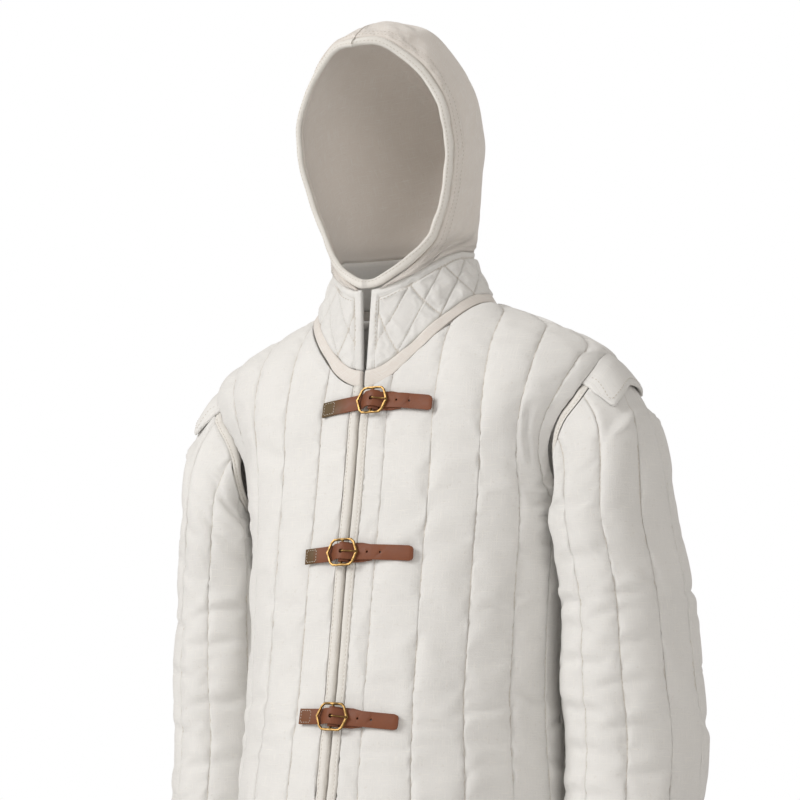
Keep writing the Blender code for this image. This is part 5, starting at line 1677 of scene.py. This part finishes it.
def group(name: str, inputs: tuple, outputs: tuple) -> tuple[bpy.types.NodeTree, Nodes, dict, bpy.types.Node]:
    """Starts a shader node group.

    Args:
        name: its name.
        inputs: the name, type and default of each input.
        outputs: the name and type of each output.

    Returns:
        The tree, its builder, its input sockets by name and the output node.
    """
    tree = bpy.data.node_groups.new(name, "ShaderNodeTree")
    for label, kind, value in inputs:
        socket = tree.interface.new_socket(label, in_out="INPUT", socket_type=kind)
        if value is not None:
            socket.default_value = value
    for label, kind in outputs:
        tree.interface.new_socket(label, in_out="OUTPUT", socket_type=kind)
    nodes = Nodes(tree)
    start = nodes.add("NodeGroupInput")
    return tree, nodes, {socket.name: socket for socket in start.outputs}, nodes.add("NodeGroupOutput")


class Effects:
    """Node groups that more than one finish uses, each built once."""

    @staticmethod
    @cache
    def weave() -> bpy.types.NodeTree:
        """Returns a plain weave with slubs: its height and a mask of its thicker threads."""
        inputs = (("Vector", VECTOR, None), ("Thread", NUMBER, 0.0007), ("Slub", NUMBER, 1.0))
        tree, nodes, given, end = group("woven threads", inputs, (("Height", NUMBER), ("Slubs", NUMBER)))
        split = nodes.add("ShaderNodeSeparateXYZ", {0: given["Vector"]})
        wander = nodes.noise(given["Vector"], 90.0, 2.0)
        bent = nodes.math("MULTIPLY", nodes.math("SUBTRACT", wander, 0.5), 0.0009)
        waves = []
        for axis in ("X", "Y"):
            place = nodes.math("DIVIDE", nodes.math("ADD", split.outputs[axis], bent), given["Thread"])
            waves.append(nodes.math("SINE", nodes.math("MULTIPLY", place, math.pi)))
        over = nodes.math("MULTIPLY", waves[0], waves[1])
        slubs = []
        for scale in ((900.0, 55.0, 1.0), (60.0, 820.0, 1.0)):
            long_threads = nodes.noise(nodes.stretched(given["Vector"], scale), 1.0, 2.0)
            slubs.append(nodes.math("SUBTRACT", long_threads, 0.5))
        thick = nodes.math("MAXIMUM", slubs[0], slubs[1])
        raised = nodes.math("MULTIPLY", thick, given["Slub"])
        height = nodes.math("ADD", nodes.math("MULTIPLY", over, 0.35), raised)
        nodes.feed(end, {"Height": height, "Slubs": thick})
        return tree

    @staticmethod
    @cache
    def mottle() -> bpy.types.NodeTree:
        """Returns slow and small changes of colour over a finish, as two masks."""
        inputs = (("Vector", VECTOR, None), ("Scale", NUMBER, 14.0))
        tree, nodes, given, end = group("mottled", inputs, (("Slow", NUMBER), ("Small", NUMBER)))
        slow = nodes.noise(given["Vector"], given["Scale"], 4.0)
        small = nodes.noise(given["Vector"], nodes.math("MULTIPLY", given["Scale"], 22.0))
        nodes.feed(end, {"Slow": slow, "Small": small})
        return tree


@dataclass(frozen=True)
class Finish:
    """A finish, with a slot name and the name of its material."""

    slot: str
    name: str

    def material(self) -> bpy.types.Material:
        """Returns the finish's material, made once."""
        found = bpy.data.materials.get(self.name)
        if found:
            return found
        made = bpy.data.materials.new(self.name)
        made.use_nodes = True
        nodes = Nodes(made.node_tree)
        self.paint(nodes, made.node_tree.nodes["Principled BSDF"])
        return made

    def paint(self, nodes: Nodes, shader: bpy.types.Node) -> None:
        """Joins the finish's nodes to the shader."""
        raise NotImplementedError


@dataclass(frozen=True)
class Cotton(Finish):
    """Undyed cotton: a slubbed plain weave, with warmer, darker painted shade where stitching pulls it in."""

    colour: tuple = (0.80, 0.788, 0.765)
    # deep: the colour of the painted shade in the grooves, and also of small random flecks
    deep: tuple = (0.60, 0.55, 0.48)
    slub_colour: tuple = (0.85, 0.83, 0.79)
    thread: float = 0.0007
    slub: float = 1.0
    weave_height: float = 0.0005
    sheen: float = 0.25

    def paint(self, nodes: Nodes, shader: bpy.types.Node) -> None:
        """Joins the weave, the mottling and the painted shade in the grooves to the shader."""
        cloth = nodes.add("ShaderNodeUVMap", uv_map="cloth").outputs[0]
        place = nodes.add("ShaderNodeTexCoord").outputs["Object"]
        threads = {"Vector": cloth, "Thread": self.thread, "Slub": self.slub}
        weave = nodes.add("ShaderNodeGroup", node_tree=Effects.weave())
        mottle = nodes.add("ShaderNodeGroup", {"Vector": place}, node_tree=Effects.mottle())
        nodes.feed(weave, threads)
        full = nodes.add("ShaderNodeAttribute", attribute_name="full").outputs["Fac"]
        worn = tuple(c * 0.90 for c in self.colour)
        colour = nodes.mix(nodes.ramp(mottle.outputs["Slow"], 0.35, 0.65, 0.0, 0.34), self.colour, worn)
        colour = nodes.mix(nodes.ramp(weave.outputs["Slubs"], 0.05, 0.25, 0.0, 0.8), colour, self.slub_colour)
        colour = nodes.mix(nodes.ramp(mottle.outputs["Small"], 0.62, 0.74, 0.0, 0.22), colour, self.deep)
        # painted shade: darker and warmer where the stitching pulls the cloth in, read from the full attribute
        colour = nodes.mix(nodes.ramp(full, 0.02, 0.36, 0.62, 0.0), colour, self.deep)
        values = {
            "Base Color": colour,
            "Roughness": nodes.ramp(mottle.outputs["Small"], 0.0, 1.0, 0.86, 0.98),
            "Specular IOR Level": 0.25,
            "Sheen Weight": self.sheen,
            "Sheen Roughness": 0.5,
            "Normal": nodes.bump(weave.outputs["Height"], 0.8, self.weave_height),
        }
        nodes.feed(shader, values)


@dataclass(frozen=True)
class SewingThread(Finish):
    """Twisted cotton thread."""

    colour: tuple = (0.70, 0.65, 0.58)

    def paint(self, nodes: Nodes, shader: bpy.types.Node) -> None:
        """Joins a fine twist to the shader."""
        place = nodes.add("ShaderNodeTexCoord").outputs["Object"]
        twist = nodes.noise(nodes.stretched(place, (1.0, 1.0, 1.0)), 2600.0, 2.0)
        colour = nodes.mix(twist, tuple(c * 0.82 for c in self.colour), self.colour)
        values = {"Base Color": colour, "Roughness": 0.75, "Normal": nodes.bump(twist, 0.5, 0.0001)}
        nodes.feed(shader, values)


@dataclass(frozen=True)
class Leather(Finish):
    """Reddish brown vegetable-tanned leather with fine grain and lighter worn edges."""

    colour: tuple = (0.152, 0.044, 0.017)
    light: tuple = (0.210, 0.069, 0.030)
    dark: tuple = (0.110, 0.038, 0.020)
    sewn: tuple = (0.085, 0.058, 0.016)

    def paint(self, nodes: Nodes, shader: bpy.types.Node) -> None:
        """Joins the grain, the creases and the wear to the shader."""
        place = nodes.add("ShaderNodeTexCoord").outputs["Object"]
        values = {"Vector": place, "Scale": 1500.0}
        grain = nodes.add("ShaderNodeTexVoronoi", values, feature="DISTANCE_TO_EDGE").outputs[0]
        cloud = nodes.noise(place, 130.0, 5.0, 0.6)
        fine = nodes.noise(place, 900.0, 3.0)
        wear = nodes.add("ShaderNodeNewGeometry").outputs["Pointiness"]
        end = nodes.add("ShaderNodeAttribute", attribute_name="sewn").outputs["Fac"]
        colour = nodes.mix(nodes.ramp(cloud, 0.35, 0.68, 0.0, 0.75), self.colour, self.light)
        colour = nodes.mix(nodes.ramp(fine, 0.60, 0.72, 0.0, 0.5), colour, self.dark)
        colour = nodes.mix(nodes.ramp(wear, 0.52, 0.60, 0.0, 0.6), colour, self.light)
        colour = nodes.mix(end, colour, self.sewn)
        height = nodes.math("ADD", nodes.math("MULTIPLY", grain, 0.9), nodes.math("MULTIPLY", fine, 0.4))
        rough = nodes.ramp(cloud, 0.3, 0.7, 0.42, 0.62)
        values = {"Base Color": colour, "Roughness": rough, "Specular IOR Level": 0.32}
        nodes.feed(shader, {**values, "Normal": nodes.bump(height, 0.55, 0.00025)})


@dataclass(frozen=True)
class Brass(Finish):
    """Cast brass, tarnished browner in uneven patches."""

    colour: tuple = (0.27, 0.165, 0.060)
    dull: tuple = (0.10, 0.056, 0.020)

    def paint(self, nodes: Nodes, shader: bpy.types.Node) -> None:
        """Joins the tarnish and fine scratches to the shader."""
        place = nodes.add("ShaderNodeTexCoord").outputs["Object"]
        cloud = nodes.noise(place, 260.0, 5.0, 0.6)
        colour = nodes.mix(nodes.ramp(cloud, 0.50, 0.75, 0.0, 0.7), self.colour, self.dull)
        rough = nodes.ramp(cloud, 0.3, 0.75, 0.28, 0.50)
        scratches = nodes.noise(nodes.stretched(place, (900.0, 5000.0, 2500.0)), 1.0)
        values = {"Base Color": colour, "Metallic": 1.0, "Roughness": rough}
        nodes.feed(shader, {**values, "Normal": nodes.bump(scratches, 0.2, 0.0001)})


# ---- fastenings ----


@dataclass
class Fastenings:
    """The three leather straps with their tabs, buckles and prongs.

    Attributes:
        places: number, height on the front, rise per metre, droop, shift from the middle, how much
            longer the sewn end is, and how olive the sewn end has turned.
        sewn: how far from the middle a strap's sewn end lies: its start, and its end.
        half_width: half a strap's width inside its stitching.
        surface: height of the sewn end's surface above the cloth.
    """

    places: tuple = (
        ("1", -0.109, 0.010, 1.40, 0.018, 0.013, 0.9),
        ("2", -0.262, 0.020, 0.66, 0.0, 0.0, 0.8),
        ("3", -0.423, -0.040, 0.50, 0.004, -0.006, 0.25),
    )
    sewn: tuple = (0.0450, 0.0335)
    half_width: float = 0.0057
    surface: float = 0.0032

    def build(self, leather: Finish, brass: Finish, thread: Finish) -> None:
        """Builds and dresses the fastenings.

        Args:
            leather: the straps' leather.
            brass: the buckles' brass.
            thread: the stitching on the straps.
        """
        lines = []
        for number, height, slope, droop, shift, longer, olive in self.places:
            far, near = (-reach - longer for reach in self.sewn)
            strap = self.piece(f"strap_{number}", leather, 0.00045)
            x = np.array([point.co.x for point in strap.data.vertices])
            end = olive * smooth(near + shift - x, -0.0010, 0.0004)
            keep_values(strap.data, "sewn", end)
            self.piece(f"buckle_tab_{number}", leather, 0.0003)
            self.piece(f"buckle_{number}", brass, 0.0)
            self.piece(f"prong_{number}", brass, 0.0)
            corners = ((near, 1), (far, 1), (far, -1), (near, -1), (near, 1))
            path = []
            for (a, side), (b, other) in zip(corners, corners[1:]):
                for t in np.linspace(0, 1, 12)[:-1]:
                    path.append((a + (b - a) * t, self.half_width * (side + (other - side) * t)))
            along, across = np.array(path + path[:1]).T
            drop = slope * along - droop * along**2
            place = BODY.point(height + drop + across, -along - shift + slope * across)
            normal = BODY.normal(place)
            lines.append(((place + normal * self.surface) * MIRROR, normal * MIRROR))
        Thread(pitch=0.0029, length=0.0021, radius=0.0003).stitches("strap_stitches", lines, thread)
        LOG.info("fastenings built")

    @staticmethod
    def piece(node: str, finish: Finish, rounding: float) -> bpy.types.Object:
        """Makes one fastening's visible piece from its solid, with rounded edges.

        Args:
            node: the solid.
            finish: its leather or brass.
            rounding: how wide its edges are rounded, or 0 for a wire that is round already.

        Returns:
            The piece.
        """
        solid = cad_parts[node]
        mesh = solid.data.copy()
        mesh.transform(solid.matrix_world)
        mesh.materials.clear()
        work = bmesh.new()
        work.from_mesh(mesh)
        bmesh.ops.remove_doubles(work, verts=work.verts, dist=0.00002)
        flat, square = math.radians(25), math.radians(60)
        bmesh.ops.join_triangles(
            work, faces=work.faces, angle_face_threshold=flat, angle_shape_threshold=square
        )
        bmesh.ops.recalc_face_normals(work, faces=work.faces)
        work.to_mesh(mesh)
        work.free()
        made = bpy.data.objects.new("made_" + node, mesh)
        bpy.context.scene.collection.objects.link(made)
        pick(made)
        if rounding:
            bevel = made.modifiers.new("rounding", "BEVEL")
            bevel.width = rounding
            bevel.segments = 2
            bevel.limit_method = "ANGLE"
            bevel.angle_limit = math.radians(42)
            bpy.ops.object.modifier_apply(modifier=bevel.name)
        bpy.ops.object.shade_smooth_by_angle(angle=math.radians(50))
        made.data.materials.append(finish.material())
        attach(made, "root")
        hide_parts(node)
        return made


# ---- studio ----


@dataclass
class Studio:
    """The camera, the lights, the white background and the floor."""

    distance: float = 2.40
    azimuth: float = 30.0
    elevation: float = 7.4
    height: float = -0.406
    lens: float = 104.0
    pan: float = 9 / 2311
    floor: float = -1.42

    def build(self) -> None:
        """Sets up the studio."""
        scene = bpy.context.scene
        scene.view_settings.view_transform = "Standard"
        data = bpy.data.cameras.new("camera")
        data.lens = self.lens
        data.sensor_width = 36
        camera = bpy.data.objects.new("camera", data)
        turn = math.radians(self.azimuth)
        camera.location = (math.sin(turn) * self.distance, -math.cos(turn) * self.distance, self.height)
        camera.rotation_euler = (math.radians(90 + self.elevation), 0, turn + math.atan(self.pan))
        scene.collection.objects.link(camera)
        scene.camera = camera
        self.world(scene)
        self.light("key", (-1.7, -2.8, 1.4), (0.0, 0.0, -0.3), 2.0, 86)
        self.light("fill", (2.7, -2.2, 0.5), (0.1, 0.0, -0.3), 2.0, 22)
        self.light("back", (0.8, 2.6, 2.2), (0.0, 0.0, 0.0), 2.0, 20)
        self.make_floor()

    @staticmethod
    def world(scene: bpy.types.Scene) -> None:
        """Makes the even light, with a white background behind the object."""
        made = bpy.data.worlds.new("studio")
        scene.world = made
        made.use_nodes = True
        nodes = Nodes(made.node_tree)
        background = made.node_tree.nodes["Background"]
        seen = nodes.add("ShaderNodeLightPath").outputs["Is Camera Ray"]
        colour = nodes.mix(seen, (1.0, 0.94, 0.87), (1.0, 1.0, 1.0))
        nodes.feed(background, {"Color": colour, "Strength": nodes.ramp(seen, 0.0, 1.0, 0.42, 1.0)})

    @staticmethod
    def light(name: str, place: tuple, aim: tuple, size: float, power: float) -> None:
        """Adds a large soft light.

        Args:
            name: its name.
            place: where it stands.
            aim: what it faces.
            size: its width.
            power: its power in watts.
        """
        data = bpy.data.lights.new(name, "AREA")
        data.shape = "DISK"
        data.size = size
        data.energy = power
        made = bpy.data.objects.new(name, data)
        made.location = place
        made.rotation_euler = (Vector(aim) - Vector(place)).to_track_quat("-Z", "Y").to_euler()
        bpy.context.scene.collection.objects.link(made)

    def make_floor(self) -> None:
        """Adds the plain pale floor."""
        bpy.ops.mesh.primitive_plane_add(size=24, location=(0, 0, self.floor))
        floor = bpy.context.object
        floor.name = "floor"
        finish = bpy.data.materials.new("pale floor")
        finish.use_nodes = True
        shader = finish.node_tree.nodes["Principled BSDF"]
        shader.inputs["Base Color"].default_value = (0.86, 0.86, 0.86, 1)
        shader.inputs["Roughness"].default_value = 0.9
        floor.data.materials.append(finish)


def main() -> None:
    """Builds and dresses the coat, and measures it."""
    logging.basicConfig(level=logging.INFO, format="%(message)s")
    cotton = Cotton("quilted_cotton", "undyed quilted cotton")
    binding = Cotton("cotton_binding", "cotton binding", colour=(0.80, 0.77, 0.72), thread=0.0006, sheen=0.15)
    brushed = Cotton("hood_cotton", "brushed cotton", colour=(0.80, 0.745, 0.690), slub=0.7, sheen=0.35)
    thread = SewingThread("quilted_cotton", "sewing thread")
    Studio().build()
    Body().build(cotton, binding, thread)
    form = SleeveForm()
    for side, seed in (("left", 21), ("right", 25)):
        Sleeve(side, form, seed=seed).build(cotton, binding, thread)
    Collar().build(cotton, brushed, thread)
    Hood().build(brushed, binding, thread)
    leather, brass = Leather("strap_leather", "tanned leather"), Brass("buckle_brass", "cast brass")
    Fastenings().build(leather, brass, thread)


if __name__ == "__main__":
    main()
